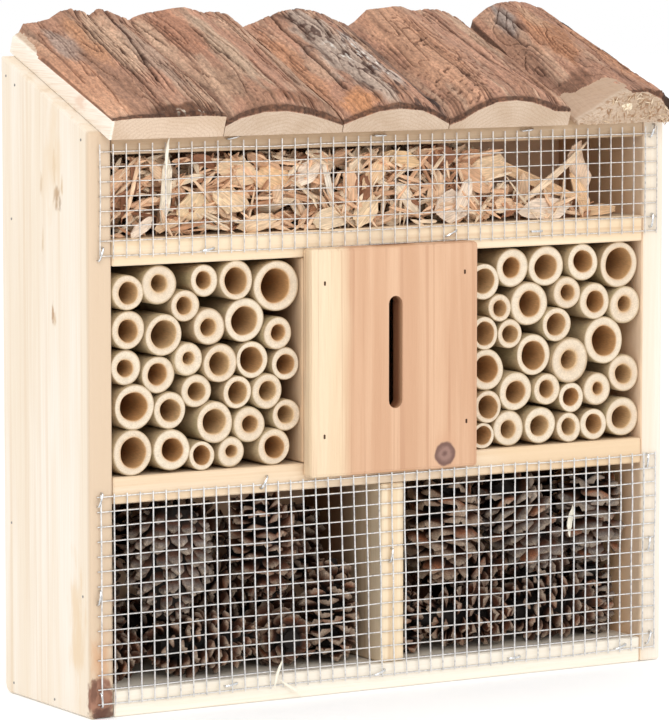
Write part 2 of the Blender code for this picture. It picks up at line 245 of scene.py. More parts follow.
def make_piece(name, points, faces, materials, slot, tints=None, replaces=(), rows=None,
               fibres=None):
    """A mesh piece that rides on the part. tints are linear colours and fibres places along
    the grain in metres, one a point."""
    mesh = bpy.data.meshes.new(name)
    faces = faces.tolist() if isinstance(faces, np.ndarray) else faces
    mesh.from_pydata(at(points).tolist(), [], faces)
    for material in materials if isinstance(materials, list) else [materials]:
        mesh.materials.append(material)
    if rows is not None:
        mesh.polygons.foreach_set("material_index", np.asarray(rows, np.int32))
    if tints is not None:
        attribute = mesh.color_attributes.new("tint", "FLOAT_COLOR", "POINT")
        colours = np.ones((len(points), 4), np.float32)
        colours[:, :3] = np.clip(tints, 0.0, 1.0)
        attribute.data.foreach_set("color", colours.ravel())
    if fibres is not None:
        attribute = mesh.attributes.new("fibre", "FLOAT_VECTOR", "POINT")
        attribute.data.foreach_set("vector", np.asarray(fibres, np.float32).ravel())
    mesh.shade_smooth()
    mesh.set_sharp_from_angle(angle=math.radians(50))
    piece = put(name, mesh)
    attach(piece, "root")
    if replaces:
        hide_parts(*replaces)
    return piece


# ---------------------------------------------------------------- materials


def add(tree, kind, inputs=None, **settings):
    made = tree.nodes.new(kind)
    for key, value in settings.items():
        setattr(made, key, value)
    for key, value in (inputs or {}).items():
        if isinstance(value, bpy.types.NodeSocket):
            tree.links.new(value, made.inputs[key])
        else:
            made.inputs[key].default_value = value
    return made


def new_material(name, roughness, metallic=0.0):
    material = bpy.data.materials.new(name)
    material.use_nodes = True
    tree = material.node_tree
    shader = tree.nodes["Principled BSDF"]
    shader.inputs["Roughness"].default_value = roughness
    shader.inputs["Metallic"].default_value = metallic
    shader.inputs["Specular IOR Level"].default_value = 0.3
    return material, tree, shader


def mix(tree, factor, first, second, blend="MIX"):
    def colour(value):
        is_socket = isinstance(value, bpy.types.NodeSocket)
        return value if is_socket else (*(float(c) for c in value), 1.0)

    made = add(tree, "ShaderNodeMix", {0: factor, 6: colour(first), 7: colour(second)},
               data_type="RGBA", blend_type=blend)
    return made.outputs[2]


def ramp(tree, value, low, high, start=0.0, end=1.0):
    made = add(tree, "ShaderNodeMapRange",
               {"Value": value, "From Min": low, "From Max": high, "To Min": start, "To Max": end},
               interpolation_type="SMOOTHSTEP")
    return made.outputs[0]


def grain_noise(tree, sizes, detail, seed, distortion=0.0, place=None):
    """Noise whose features have these sizes in millimetres along x, y and z."""
    place = place or object_place(tree)
    scale = tuple(1.0 / (size * MM) for size in sizes)
    mapped = add(tree, "ShaderNodeMapping",
                 {"Vector": place, "Location": (seed, seed * 1.7, seed * 0.6), "Scale": scale})
    made = add(tree, "ShaderNodeTexNoise",
               {"Vector": mapped.outputs[0], "Scale": 1.0, "Detail": detail,
                "Distortion": distortion})
    return made.outputs["Fac"]


def maths(tree, operation, *values):
    return add(tree, "ShaderNodeMath", dict(enumerate(values)), operation=operation).outputs[0]


def vector_maths(tree, operation, *values):
    made = add(tree, "ShaderNodeVectorMath", dict(enumerate(values)), operation=operation)
    return made.outputs["Value" if operation in ("LENGTH", "DOT_PRODUCT") else "Vector"]


def stained(tree, colour, tint, value, low, high, share=1.0):
    """Blends tint over colour, from nothing where value is low up to share where it is high."""
    return mix(tree, ramp(tree, value, low, high, 0.0, share), colour, tint)


def object_place(tree):
    return add(tree, "ShaderNodeTexCoord").outputs["Object"]


def by_place(tree, axis, low, high, start=0.0, end=1.0):
    """Goes from start to end between two places in box millimetres along axis number axis."""
    parts = add(tree, "ShaderNodeSeparateXYZ", {0: object_place(tree)}).outputs
    edges = at([(low,) * 3, (high,) * 3])[:, axis]
    return ramp(tree, parts[axis], edges[0], edges[1], start, end)


def set_surface(tree, shader, colour, fine, bump, rough=None, high=0.7):
    """Gives a shader its colour, and roughness and bump of that depth from its fine noise."""
    tree.links.new(colour, shader.inputs["Base Color"])
    if rough is not None:
        tree.links.new(ramp(tree, fine, 0.3, high, *rough), shader.inputs["Roughness"])
    made = add(tree, "ShaderNodeBump", {"Height": fine, "Distance": bump * MM, "Strength": 1.0})
    tree.links.new(made.outputs[0], shader.inputs["Normal"])


def patch(tree, colour, centre, reach, tint, softness=0.5, ragged=0.35, strength=1.0):
    """Blends tint over colour inside an ellipsoid, with a ragged soft edge."""
    moved = vector_maths(tree, "SUBTRACT", object_place(tree), tuple(at(centre)))
    scaled = vector_maths(tree, "MULTIPLY", moved, tuple(1.0 / (r * MM) for r in reach))
    distance = vector_maths(tree, "LENGTH", scaled)
    rough = grain_noise(tree, [max(r * 0.5, 1.5) for r in reach], 3.0, centre[2])
    edge = ramp(tree, rough, 0.2, 0.8, -ragged, ragged)
    total = maths(tree, "ADD", distance, edge)
    return stained(tree, colour, tint, total, 1.0, 1.0 - softness, strength)


def wood(name, grain, light, dark, line, seed=0.0, patches=(), line_share=0.5, across=16.0,
         front=None, shade=None):
    """Planed softwood with its grain along axis number grain."""
    material, tree, shader = new_material(name, 0.62)

    def sizes(wide, long):
        return [long if axis == grain else wide for axis in range(3)]

    broad = grain_noise(tree, sizes(across, 260.0), 3.0, seed, 0.6)
    rings = grain_noise(tree, sizes(4.2, 420.0), 2.0, seed + 3.1, 0.3)
    fibres = grain_noise(tree, sizes(0.8, 30.0), 3.0, seed + 7.7)
    colour = stained(tree, light, dark, broad, 0.36, 0.66)
    colour = stained(tree, colour, line, rings, 0.54, 0.7, line_share)
    colour = stained(tree, colour, line, fibres, 0.3, 0.75, 0.16)
    # Painted shade on the front edge, and on the faces deep inside the box
    if front is not None:
        colour = painted_front_shade(tree, colour, front, 0.85)
    if shade is not None:
        colour = painted_depth_shade(tree, colour, **shade)
    for details in patches:
        colour = patch(tree, colour, *details)
    set_surface(tree, shader, colour, fibres, 0.12, (0.5, 0.72), 0.8)
    return material


def tinted(name, roughness, sizes, spread, bump, along_fibres=False):
    """A material that takes its colour from the mesh and adds fine grain to it."""
    material, tree, shader = new_material(name, roughness)
    tint = add(tree, "ShaderNodeVertexColor", layer_name="tint").outputs["Color"]
    place = None
    if along_fibres:
        place = add(tree, "ShaderNodeAttribute", attribute_name="fibre").outputs["Vector"]
    fine = grain_noise(tree, sizes, 4.0, 2.3, place=place)
    coarse = grain_noise(tree, [size * 6 for size in sizes], 3.0, 5.9, place=place)
    darker = mix(tree, 1.0, tint, (1 - spread,) * 3, "MULTIPLY")
    lighter = mix(tree, 1.0, tint, (1 + spread * 0.6,) * 3, "MULTIPLY")
    colour = stained(tree, darker, lighter, fine, 0.3, 0.7)
    colour = stained(tree, colour, darker, coarse, 0.35, 0.7, 0.35)
    set_surface(tree, shader, colour, fine, bump, (roughness - 0.1, roughness + 0.1))
    return material


def steel(name, colour, roughness):
    material, tree, shader = new_material(name, roughness, 1.0)
    spots = grain_noise(tree, (1.5, 1.5, 1.5), 3.0, 1.0)
    darker = tuple(c * 0.72 for c in colour)
    colour = stained(tree, colour, darker, spots, 0.4, 0.7)
    set_surface(tree, shader, colour, spots, 0.03, (roughness - 0.08, roughness + 0.12))
    return material


CREAM = rgb(252, 242, 228)
PALE = rgb(246, 231, 210)
TAN = rgb(238, 208, 172)
STREAK = rgb(216, 176, 134)
# Painted shade for the faces deep inside the box
PAINTED_SHADE = rgb(120, 76, 48)


def dress(name, material):
    """Gives a CAD node that keeps its shape its material."""
    for slot in frame["nodes"][name].material_slots:
        slot.material = material


def painted_depth_shade(tree, colour, tint, x_from=None, x_to=None, start=-4.0, deep=36.0,
                strength=1.0):
    """Painted shade inside the box: turns the wood towards tint from depth start to depth deep,
    on the x_to side of x_from. A warm tint stands in for warm light bounced inside the box.
    The outside of the back keeps its colour."""
    share = by_place(tree, 1, start, deep, 0.0, strength)
    share = maths(tree, "MULTIPLY", share, by_place(tree, 1, BACK_INSIDE + 3.0, BACK_INSIDE))
    if x_from is not None:
        share = maths(tree, "MULTIPLY", share, by_place(tree, 0, x_from, x_to))
    return mix(tree, share, colour, tint)


def painted_front_shade(tree, colour, tint, strength):
    """Painted shade on the sawn front edge of a board: tones it towards tint."""
    return mix(tree, by_place(tree, 1, 3.5, 0.2, 0.0, strength), colour, tint)


KNOT = rgb(150, 108, 88)
SMUDGE = rgb(214, 182, 142)
# Marks on the left panel: centre, reach each way, colour, softness, raggedness and strength
LEFT_PATCHES = [
    ((0, 31, 234), (8, 2.2, 10), SMUDGE, 0.9, 0.4, 0.8),
    ((0, 29, 221), (8, 3.6, 8), rgb(186, 150, 112), 0.9, 0.4, 0.85),
    ((0, 26, 218), (8, 1.6, 5), rgb(150, 116, 84), 0.9, 0.5, 0.5),
    ((0, 24, 226), (8, 1.6, 6), SMUDGE, 0.9, 0.3, 0.8),
    ((0, 43, 226), (8, 1.8, 7), SMUDGE, 0.9, 0.3, 0.6),
    ((0, 42, 200), (8, 1.4, 9), SMUDGE, 0.9, 0.3, 0.6),
    ((0, 33, 171), (8, 1.3, 6), rgb(186, 146, 108), 0.6, 0.3, 0.85),
    ((0, 31, 169), (8, 1.6, 4), SMUDGE, 0.8, 0.3, 0.8),
    ((0, 33, 240), (9, 11, 34), rgb(240, 216, 184), 0.9, 0.4, 0.7),
    ((0, 12, 40), (9, 9, 34), rgb(236, 208, 170), 0.9, 0.5, 0.7),
    ((5, 0, 26), (7, 4, 16), rgb(216, 168, 128), 0.9, 0.3, 0.7),
    ((4, 0, 8.5), (8.5, 4.5, 10.5), KNOT, 0.35, 0.25, 1.0),
    ((4, 0, 8), (6.2, 4.5, 7.5), rgb(172, 126, 102), 0.5, 0.3, 0.8),
    ((6, 0, 1), (7, 6, 4.5), rgb(96, 62, 50), 0.5, 0.3, 0.9),
    ((1.5, 0, 12), (2.0, 3, 6), rgb(112, 76, 60), 0.5, 0.3, 0.7),
]


def dress_boards():
    # The shade settings paint shade on faces inside the box; the warm tints of the right panel and
    # the inside of the back panel stand in for warm light bounced inside
    wall = LEFT_WALLS[0]
    inside_left = dict(tint=PAINTED_SHADE, x_from=wall - 0.8, x_to=wall - 0.2)
    right_face = node_box("right_side_panel")[0][0]
    inside_right = dict(tint=rgb(255, 210, 164), x_from=right_face + 0.8, x_to=right_face + 0.2,
                        start=-20.0, deep=24.0)
    dress("left_side_panel",
          wood("left_panel_wood", 2, CREAM, PALE, rgb(230, 204, 172), 1.3, LEFT_PATCHES, 0.42,
               front=rgb(217, 190, 160), shade=inside_left))
    dress("right_side_panel",
          wood("right_panel_wood", 2, rgb(248, 238, 224), rgb(242, 228, 208),
               rgb(228, 206, 180), 4.2, (), 0.35, shade=inside_right))
    dress("base_board", wood("base_wood", 0, rgb(255, 247, 232), rgb(249, 236, 212), TAN, 2.1,
                             (), 0.3, shade=dict(tint=rgb(206, 196, 184), strength=0.7)))
    warm_end = ((250, 0, 98), (80, 14, 30), rgb(234, 204, 166), 0.6, 0.2, 0.8)
    dress("lower_shelf", wood("lower_shelf_wood", 0, rgb(247, 226, 198), rgb(238, 211, 176),
                              STREAK, 5.4, (warm_end,), 0.45, 5.0, shade=dict(tint=PAINTED_SHADE)))
    dress("upper_shelf", wood("upper_shelf_wood", 0, rgb(252, 232, 202), rgb(246, 220, 184),
                              STREAK, 8.8, (), 0.4, 5.0, shade=dict(tint=PAINTED_SHADE)))
    dress("top_board", wood("top_board_wood", 0, rgb(228, 203, 172), rgb(214, 186, 152),
                            rgb(186, 152, 116), 3.3, (), 0.4, 5.0,
                            shade=dict(tint=rgb(120, 74, 50), deep=12.0)))
    dress("back_panel",
          wood("back_panel_wood", 0, rgb(240, 216, 182), rgb(228, 198, 158), STREAK, 6.1, (), 0.4,
               12.0, shade=dict(tint=rgb(255, 212, 174), start=-20.0, deep=-10.0, strength=1.0)))
    dress("lower_divider",
          wood("divider_wood", 2, rgb(252, 232, 200), rgb(243, 217, 178), STREAK, 9.2, (), 0.4,
               6.0, shade=dict(tint=rgb(128, 92, 64), deep=42.0)))
    for name, seed in (("left_upright", 7.3), ("right_upright", 2.9)):
        dress(name, wood(name + "_wood", 2, TAN, rgb(222, 186, 148), STREAK, seed, (), 0.5, 5.0,
                         shade=dict(tint=rgb(150, 106, 78), deep=25.0)))


SAPWOOD_ENDS = 122.0
# Rings of the knot: x, z, reach each way, colour, softness, raggedness and strength
FRONT_KNOT = [
    (173, 105, 9, 16, rgb(214, 166, 132), 0.9, 0.2, 0.6),
    (173, 103.7, 5.9, 5.9, rgb(122, 90, 80), 0.2, 0.06),
    (173, 103.7, 4.4, 4.4, rgb(156, 122, 110), 0.5, 0.1),
    (172.8, 103.9, 1.9, 1.9, rgb(118, 86, 78), 0.8, 0.2),
]


def dress_butterfly_front():
    """Pale sapwood on the left, pinkish heartwood on the right, with straight fine grain."""
    material, tree, shader = new_material("butterfly_wood", 0.6)
    wavy = grain_noise(tree, (30.0, 30.0, 90.0), 2.0, 1.2)
    across = add(tree, "ShaderNodeSeparateXYZ", {0: object_place(tree)}).outputs[0]
    moved = maths(tree, "ADD", across, ramp(tree, wavy, 0.2, 0.8, -0.004, 0.004))
    edge = at((SAPWOOD_ENDS, 0, 0))[0]
    broad = grain_noise(tree, (8.0, 8.0, 200.0), 3.0, 4.4, 0.5)
    lines = grain_noise(tree, (2.6, 2.6, 260.0), 3.0, 6.5, 0.4)
    fibres = grain_noise(tree, (0.6, 0.6, 20.0), 3.0, 9.5)
    pink = stained(tree, rgb(226, 185, 151), rgb(211, 166, 132), broad, 0.3, 0.7)
    sap = stained(tree, rgb(242, 219, 186), rgb(236, 208, 172), broad, 0.3, 0.7)
    colour = stained(tree, sap, pink, moved, edge - 0.006, edge + 0.004)
    colour = stained(tree, colour, rgb(188, 138, 106), lines, 0.54, 0.66, 0.42)
    colour = stained(tree, colour, rgb(200, 152, 120), fibres, 0.3, 0.8, 0.16)
    for x, z, wide, tall, *look in FRONT_KNOT:
        colour = patch(tree, colour, (x, FRONT_BOARD_FACE, z), (wide, 9, tall), *look)
    # Painted shade: the walls of the slot are darker than the face, from just behind its edge
    near = maths(tree, "MULTIPLY", by_place(tree, 0, 135, 140), by_place(tree, 0, 160, 155))
    walls = maths(tree, "MULTIPLY", near, by_place(tree, 1, -7.9, -7.6))
    dark = mix(tree, by_place(tree, 1, -7.9, -3.6, 0.3), rgb(230, 184, 144), rgb(150, 100, 70))
    colour = mix(tree, walls, colour, dark)
    set_surface(tree, shader, colour, fibres, 0.12, (0.48, 0.7), 0.8)
    dress("butterfly_front", material)


# ---------------------------------------------------------------- roof

# Each slab's span across, and heights over the slope at places across it: the top of the wood
# at the front, and the top of the bark at the front and at the back
SLABS = {
    "roof_slab_1": {
        "span": (5.8, 60.7),
        "wood": [(5.8, 8.9), (17, 9.8), (39, 9.9), (51, 10.1), (60.7, 9.3)],
        "front": [(5.8, 9.4), (9, 11), (17, 12), (39, 12.6), (51, 13), (58, 12.6), (60.7, 11)],
        "back": [(5.8, 10.8), (10, 13.4), (22, 15.4), (27, 19.1), (32, 20.5), (37, 20),
                 (42, 17.4), (45, 19.9), (48, 19.9), (60.7, 15.5)],
    },
    "roof_slab_2": {
        "span": (61.0, 119.7),
        "wood": [(61, 4.8), (68, 8.4), (79, 11), (90, 11.1), (103, 8.8), (111, 6.4),
                 (119.7, 3.5)],
        "front": [(61, 9), (63, 10.3), (70, 12.4), (82, 15.4), (90, 15.5), (102, 13.7),
                  (112, 11.2), (119.7, 7.2)],
        "back": [(61, 14), (69, 17.6), (77, 18.7), (88, 20.4), (99, 17.9), (106, 17.8),
                 (112, 16.2), (119.7, 11)],
    },
    "roof_slab_3": {
        "span": (120.0, 174.3),
        "wood": [(120, 3.8), (127, 6.6), (137, 9.7), (148, 10.6), (159, 9.5), (166, 6.7),
                 (174.3, 2.6)],
        "front": [(120, 7), (127, 10.3), (134, 12.8), (146, 15.2), (156, 14.5), (163, 12.1),
                  (174.3, 6)],
        "back": [(120, 9.5), (131, 14.4), (138, 17.3), (147, 18.7), (155, 17.5), (162, 15.4),
                 (174.3, 10.5)],
    },
    "roof_slab_4": {
        "span": (174.6, 237.5),
        "wood": [(174.6, 2), (181, 4.3), (188, 8.7), (197, 12.3), (207, 13), (216, 11.8),
                 (225, 8.8), (229, 7.2), (237.5, 6.6)],
        "front": [(174.6, 6), (185, 11.1), (194, 15.7), (200, 16), (212, 15.4), (229, 12.2),
                  (237.5, 9)],
        "back": [(174.6, 9), (179, 12), (184, 17.4), (197, 18.8), (202, 18.8), (210, 16.8),
                 (222, 16.8), (229, 15.1), (237.5, 11.3)],
    },
    "roof_slab_5": {
        "span": (242.4, 294.8),
        "wood": [(242.4, 1), (251, 5.6), (259, 11.6), (265, 15.1), (277, 15.2), (285, 11.7),
                 (290, 6.9), (294.8, 0.8)],
        "front": [(242.4, 1.6), (251, 6.2), (259, 12.1), (265, 15.6), (277, 16.4), (286, 14.5),
                  (292, 9.5), (294.8, 4.5)],
        "back": [(242.4, 11), (249, 17.2), (254, 19.5), (263, 20.6), (270, 19.7), (280, 16.7),
                 (294.8, 8.5)],
    },
}

# Bark colours by place: slab, across, along, reach across, reach along, colour, share
REDDISH = rgb(190, 146, 124)
ORANGE = rgb(204, 154, 124)
BROWN = rgb(172, 132, 110)
GREY = rgb(180, 156, 140)
LIGHT = rgb(212, 180, 156)
CRACK = rgb(78, 48, 36)
BARK_TONE = (0.92, 0.88, 0.83)
BARK_PATCHES = [
    (1, 10, 30, 9, 50, ORANGE, 0.7),
    (1, 17, 63, 7, 17, rgb(178, 154, 142), 1.0),
    (1, 27, 58, 5, 26, rgb(198, 148, 114), 0.7),
    (1, 38, 60, 8, 42, LIGHT, 0.9),
    (1, 36, 14, 9, 14, REDDISH, 0.7),
    (1, 50, 45, 8, 48, GREY, 0.7),
    (1, 40, -5, 18, 5, rgb(104, 72, 54), 0.9),
    (2, 64, 60, 5, 30, LIGHT, 0.6),
    (2, 76, 66, 9, 34, rgb(182, 134, 110), 1.0),
    (2, 88, 45, 8, 44, rgb(200, 174, 152), 0.8),
    (2, 72, 18, 9, 18, rgb(190, 158, 134), 0.6),
    (2, 98, 45, 7, 50, REDDISH, 0.7),
    (2, 112, 40, 6, 50, LIGHT, 0.6),
    (2, 100, 0, 16, 6, rgb(140, 98, 76), 0.7),
    (3, 123, 40, 5, 40, ORANGE, 1.0),
    (3, 144, 45, 12, 50, rgb(190, 172, 160), 0.9),
    (3, 131, 0, 9, 12, rgb(210, 152, 112), 1.0),
    (3, 160, 38, 7, 30, rgb(210, 192, 182), 0.9),
    (3, 171, 30, 4, 60, rgb(128, 104, 92), 0.9),
    (4, 190, 45, 13, 60, rgb(208, 162, 134), 0.9),
    (3, 170.5, 4, 4, 8, rgb(72, 58, 54), 1.0),
    (4, 212, 40, 8, 50, REDDISH, 0.7),
    (4, 226, 60, 7, 34, LIGHT, 0.8),
    (5, 252, 76, 5, 18, rgb(172, 156, 148), 1.0),
    (5, 262, 55, 10, 30, rgb(190, 140, 110), 1.0),
    (5, 246, 50, 4, 26, BROWN, 0.9),
    (5, 281, 40, 7, 50, ORANGE, 0.9),
    (5, 254, 14, 9, 9, rgb(134, 98, 80), 0.9),
    (5, 264, 72, 5, 14, rgb(206, 172, 146), 0.6),
    (4, 200, 74, 9, 16, rgb(202, 156, 130), 0.6),
    (2, 66, 30, 5, 22, rgb(206, 172, 148), 0.5),
]
# How strong the long ridges are across each slab: pairs of across and strength
RIDGES = {
    1: [(6, 0.1), (24, 0.12), (31, 0.9), (61, 1.0)],
    2: [(61, 0.7), (72, 0.35), (95, 0.5), (104, 0.9), (120, 0.7)],
    3: [(120, 0.35), (130, 0.4), (138, 1.0), (162, 1.0), (168, 0.6), (175, 0.5)],
    4: [(175, 0.4), (186, 0.2), (205, 0.25), (214, 0.9), (238, 1.0)],
    5: [(242, 0.5), (250, 0.35), (270, 0.25), (276, 0.9), (295, 0.8)],
}
# Deep cracks: slab, then across and along at points of the crack, back to front
DEEP_CRACKS = [
    (1, [(49.2, 95), (47.6, 79.7), (45.3, 47.8), (40.6, 19.9)]),
    (1, [(47.3, 38.2), (50.2, -6)]),
    (1, [(33.0, 90), (31.0, 60), (33.5, 8)]),
    (1, [(40.0, 92), (37.5, 40)]),
    (2, [(108.0, 92), (107.8, 70), (108.6, 14)]),
    (2, [(118.6, 58), (117.6, 2)]),
    (2, [(82.0, 70), (84.5, 20)]),
    (2, [(95.0, 40), (93.0, -4)]),
    (3, [(134.0, 92), (131.0, 12)]),
    (3, [(150.5, 80), (147.5, 56)]),
    (4, [(214.0, 90), (216.5, 40), (219.5, -2)]),
    (4, [(230.0, 90), (232.0, -6)]),
    (4, [(222.5, 60), (226.5, 4)]),
    (5, [(252.5, 86), (254.5, 62)]),
    (5, [(248.5, 80), (251.0, 52)]),
    (5, [(275.0, 88), (277.0, 30)]),
    (5, [(284.0, 80), (285.5, 6)]),
]


# Cells of a slab across, along and up, and how many rows of them, from below, are wood
SLAB_CELLS = (170, 250, 15)
WOOD_ROWS = 10
# Rounded length, for the fade behind the front edge
SLAB_LENGTH = 97.0


def profile(outline, x):
    """Heights of an outline's straight stretches at x."""
    xs, heights = zip(*outline)
    return np.interp(x, xs, heights)


def on_roof(x, along, height):
    """Points measured along the roof's slope from its front edge, and square up from it."""
    y = along * math.cos(ROOF_SLOPE) - height * math.sin(ROOF_SLOPE)
    z = FRONT_HEIGHT + along * math.sin(ROOF_SLOPE) + height * math.cos(ROOF_SLOPE)
    return stacked(x, y, z)


def bark_noise(points, across, along, seed, octaves=1):
    """Noise over a slab, whose points keep a number of its own in their third column."""
    return noise(points, (across, along, 9), seed, octaves)


def billow(points, across, along, seed):
    """Rounded ridges that rise from 0, in the sharp cracks between them, to 1."""
    return np.sqrt(np.minimum(np.abs(bark_noise(points, across, along, seed) - 0.5) * 2.8, 1.0))


def deep_cracks(number, x, along):
    """How deep in one of the long cracks each point is, 0 to 1."""
    total = np.zeros_like(x)
    flat = stacked(x, along, 2.0)
    sway = 1.6 * (bark_noise(flat, 30, 9, 91 * number, 2) - 0.5)
    for slab, path in DEEP_CRACKS:
        if slab != number:
            continue
        xs, places = zip(*reversed(path))
        middle = np.interp(along, places, xs)
        ends = smooth(places[0] - 3, places[0] + 5, along)
        ends *= 1.0 - smooth(places[-1] - 5, places[-1] + 3, along)
        total = np.maximum(total, ends * (1.0 - smooth(0.1, 0.95, np.abs(x + sway - middle))))
    return total


def contour_lines(points, size, seed, levels, width):
    """Thin lines along the contours of smooth noise: 1 on a line, 0 away from it."""
    step = 0.25
    value = noise(points, size, seed, 2) * levels
    beside = noise(points + (step, 0, 0), size, seed, 2) * levels
    slope = np.maximum(np.abs(beside - value) / step, 0.02)
    away = np.abs(value - np.round(value)) / slope
    return 1.0 - smooth(0.4 * width, width, away)


def bark_relief(number, x, along):
    """Height of the bark's ridges, flakes and lines, and how deep in a crack each point is."""
    flat = stacked(x, along, 9.0 * number)
    seed = 31 * number
    ridges = profile(RIDGES[number], x)
    sway = 3.0 * (bark_noise(flat, 40, 50, seed) - 0.5)
    sway += 0.9 * (bark_noise(flat, 6, 13, seed + 1) - 0.5)
    bent = flat + stacked(sway, 0.0, 0.0)
    long = 60 if number == 3 else 130
    broad = billow(bent, 9, long * 1.3, seed + 2)
    medium = billow(bent, 3.6, long * 0.6, seed + 3)
    small = billow(bent, 1.7, long * 0.3, seed + 4)
    fade = 0.3 + 0.7 * smooth(0.3, 0.55, bark_noise(flat, 7, 30, seed + 5, 2))
    level = bark_noise(bent, 8, 22, seed + 6, 3) * 7.0
    step = level - np.floor(level)
    flakes = np.floor(level) + smooth(0.0, 0.1, step) - 3.5
    flake_edge = 1.0 - smooth(0.0, 0.12, step)
    flake_edge *= smooth(0.35, 0.6, bark_noise(flat, 9, 20, seed + 7))
    reach = 34 if number == 5 else 190
    fine = contour_lines(bent, (8, reach, 9), seed + 12, 8.0, 0.5)
    # lit_edge: the fine lines moved 0.6 mm across, where a painted highlight goes beside each one
    lit_edge = contour_lines(bent + (0.6, 0, 0), (8, reach, 9), seed + 12, 8.0, 0.5)
    shown = smooth(0.36, 0.56, bark_noise(flat, 6, 24, seed + 13, 2))
    fine, lit_edge = fine * shown, lit_edge * shown
    lines = bark_noise(bent, 0.9, 22, seed + 8, 2) - 0.5
    grit = bark_noise(flat, 0.8, 1.2, seed + 9, 2) - 0.5
    deep = deep_cracks(number, x, along)
    relief = ridges * (1.9 * (broad - 0.8) + 0.9 * (medium - 0.7))
    relief += (0.12 + 0.25 * ridges) * (small - 0.7) + 0.36 * flakes - 0.7 * fine
    relief += 0.22 * lines * (0.3 + ridges) + 0.2 * grit - 2.0 * deep
    relief *= 1.0 - 0.6 * smooth(SLAB_BACK - 6.0, SLAB_BACK, along)
    crack = 0.85 * ridges * (1 - smooth(0.04, 0.24, broad))
    crack += 0.7 * fade * (0.15 + ridges) * (1 - smooth(0.08, 0.34, medium))
    crack += 0.4 * fade * (0.3 + ridges) * (1 - smooth(0.1, 0.4, small)) + 0.5 * flake_edge
    crack += 0.85 * fine * (0.5 + 0.5 * ridges)
    if number == 4:
        pits = smooth(0.74, 0.8, bark_noise(flat, 1.3, 1.9, seed + 10))
        pits *= 1 - smooth(206, 212, x)
        pits *= smooth(0.4, 0.6, bark_noise(flat, 12, 18, seed + 11))
        relief -= 0.7 * pits
        crack += 0.7 * pits
    crack = np.clip(crack + deep, 0.0, 1.0)
    # The last value marks the ridge tops and lit edges for the painted highlight
    return relief, crack, lines, grit, small * 0.4 + medium * 0.6 + 0.4 * lit_edge


def bark_tint(number, x, along, crack, lines, grit, painted_highlight):
    flat = stacked(x, along, 4.0 * number)
    seed = 57 * number
    colour = mixed(BROWN, REDDISH, smooth(0.3, 0.6, bark_noise(flat, 9, 40, seed, 3)))
    colour = mixed(colour, LIGHT, 0.6 * smooth(0.5, 0.7, bark_noise(flat, 4, 34, seed + 1, 3)))
    ragged = bark_noise(flat, 4, 12, seed + 2, 3) - 0.5
    for slab, cx, cs, rx, rs, tint, share in BARK_PATCHES:
        if slab != number:
            continue
        distance = np.hypot((x - cx) / rx, (along - cs) / rs) + 1.1 * ragged
        colour = mixed(colour, tint, share * (1.0 - smooth(0.55, 1.05, distance)))
    # Painted highlight on the ridge tops and beside the fine lines
    colour = mixed(colour, colour * 1.24, smooth(0.5, 1.0, painted_highlight))
    if number == 3:
        band = 1.0 - smooth(10, 20, np.abs(x - 152))
        specks = smooth(0.6, 0.68, bark_noise(flat, 2.2, 6, seed + 4, 2))
        colour = mixed(colour, rgb(98, 74, 66), specks * band * 0.9)
        flecks = smooth(0.6, 0.68, bark_noise(flat, 1.8, 5, seed + 3, 2))
        near = 1.0 - smooth(0.6, 1.2, np.hypot((x - 158) / 9, (along - 40) / 24))
        near = np.maximum(near, 1.0 - smooth(0.6, 1.2, np.hypot((x - 143) / 5, (along - 42) / 12)))
        colour = mixed(colour, rgb(246, 240, 234), flecks * near)
    if number == 1:
        flecks = smooth(0.66, 0.7, bark_noise(flat, 1.5, 1.5, seed + 5))
        near = smooth(30, 34, x) * (1 - smooth(50, 54, x)) * (1 - smooth(-7.0, -4.0, along))
        colour = mixed(colour, rgb(250, 238, 220), flecks * near)
    colour = colour * (1.0 + 0.5 * lines + 0.5 * grit)[:, None] * BARK_TONE
    # Dark in the cracks, flake edges and fine lines: the bark's own darker colour there, with
    # painted shade in the hollows
    return mixed(colour, CRACK, 0.92 * crack)


def bare_wood(number, x, along):
    """Where a slab has lost its bark: 1 bare, 0 covered."""
    flat = stacked(x, along, 0.0)
    ragged = 0.5 * (noise(flat, (6, 6, 6), 77, 3) - 0.5)
    if number == 1:
        reach = np.hypot((x - 4) / 6.0, (along - 88) / 36)
        return 1.0 - smooth(0.7, 1.0, reach + 0.5 * ragged)
    if number == 5:
        reach = np.hypot((x - 248) / 22, (along + 8) / 23)
        return (1.0 - smooth(0.9, 1.0, reach + ragged)) * (1.0 - smooth(279, 284, x))
    return np.zeros_like(x)


def edge_tints(number, tints, x, along, v, in_bark, is_side, bare, across):
    """Darkens the bark's torn front edge, its sides, and the right rim of the last slab."""
    edge = np.exp(-(v * SLAB_LENGTH) / 1.2) * smooth(0.0, 0.1, in_bark)
    mottle = noise(across, (1.6, 1.6, 5.0), 19 * number, 2)
    edge_colour = mixed(rgb(66, 42, 30), rgb(124, 84, 62), smooth(0.4, 0.75, mottle))
    tints = mixed(tints, edge_colour, 0.85 * edge)
    sides = (in_bark > 0) & (in_bark < 1)
    side_colour = rgb(70, 50, 42) if number == 5 else rgb(120, 82, 62)
    tints = mixed(tints, side_colour, 0.7 * (sides & is_side) * (1.0 - bare))
    if number == 5:
        rim = np.maximum(smooth(289.0, 291.5, x),
                         smooth(285, 288.5, x) * (1.0 - smooth(2, 12, along)))
        tints = mixed(tints, rgb(62, 46, 38), 0.9 * rim)
    return tints


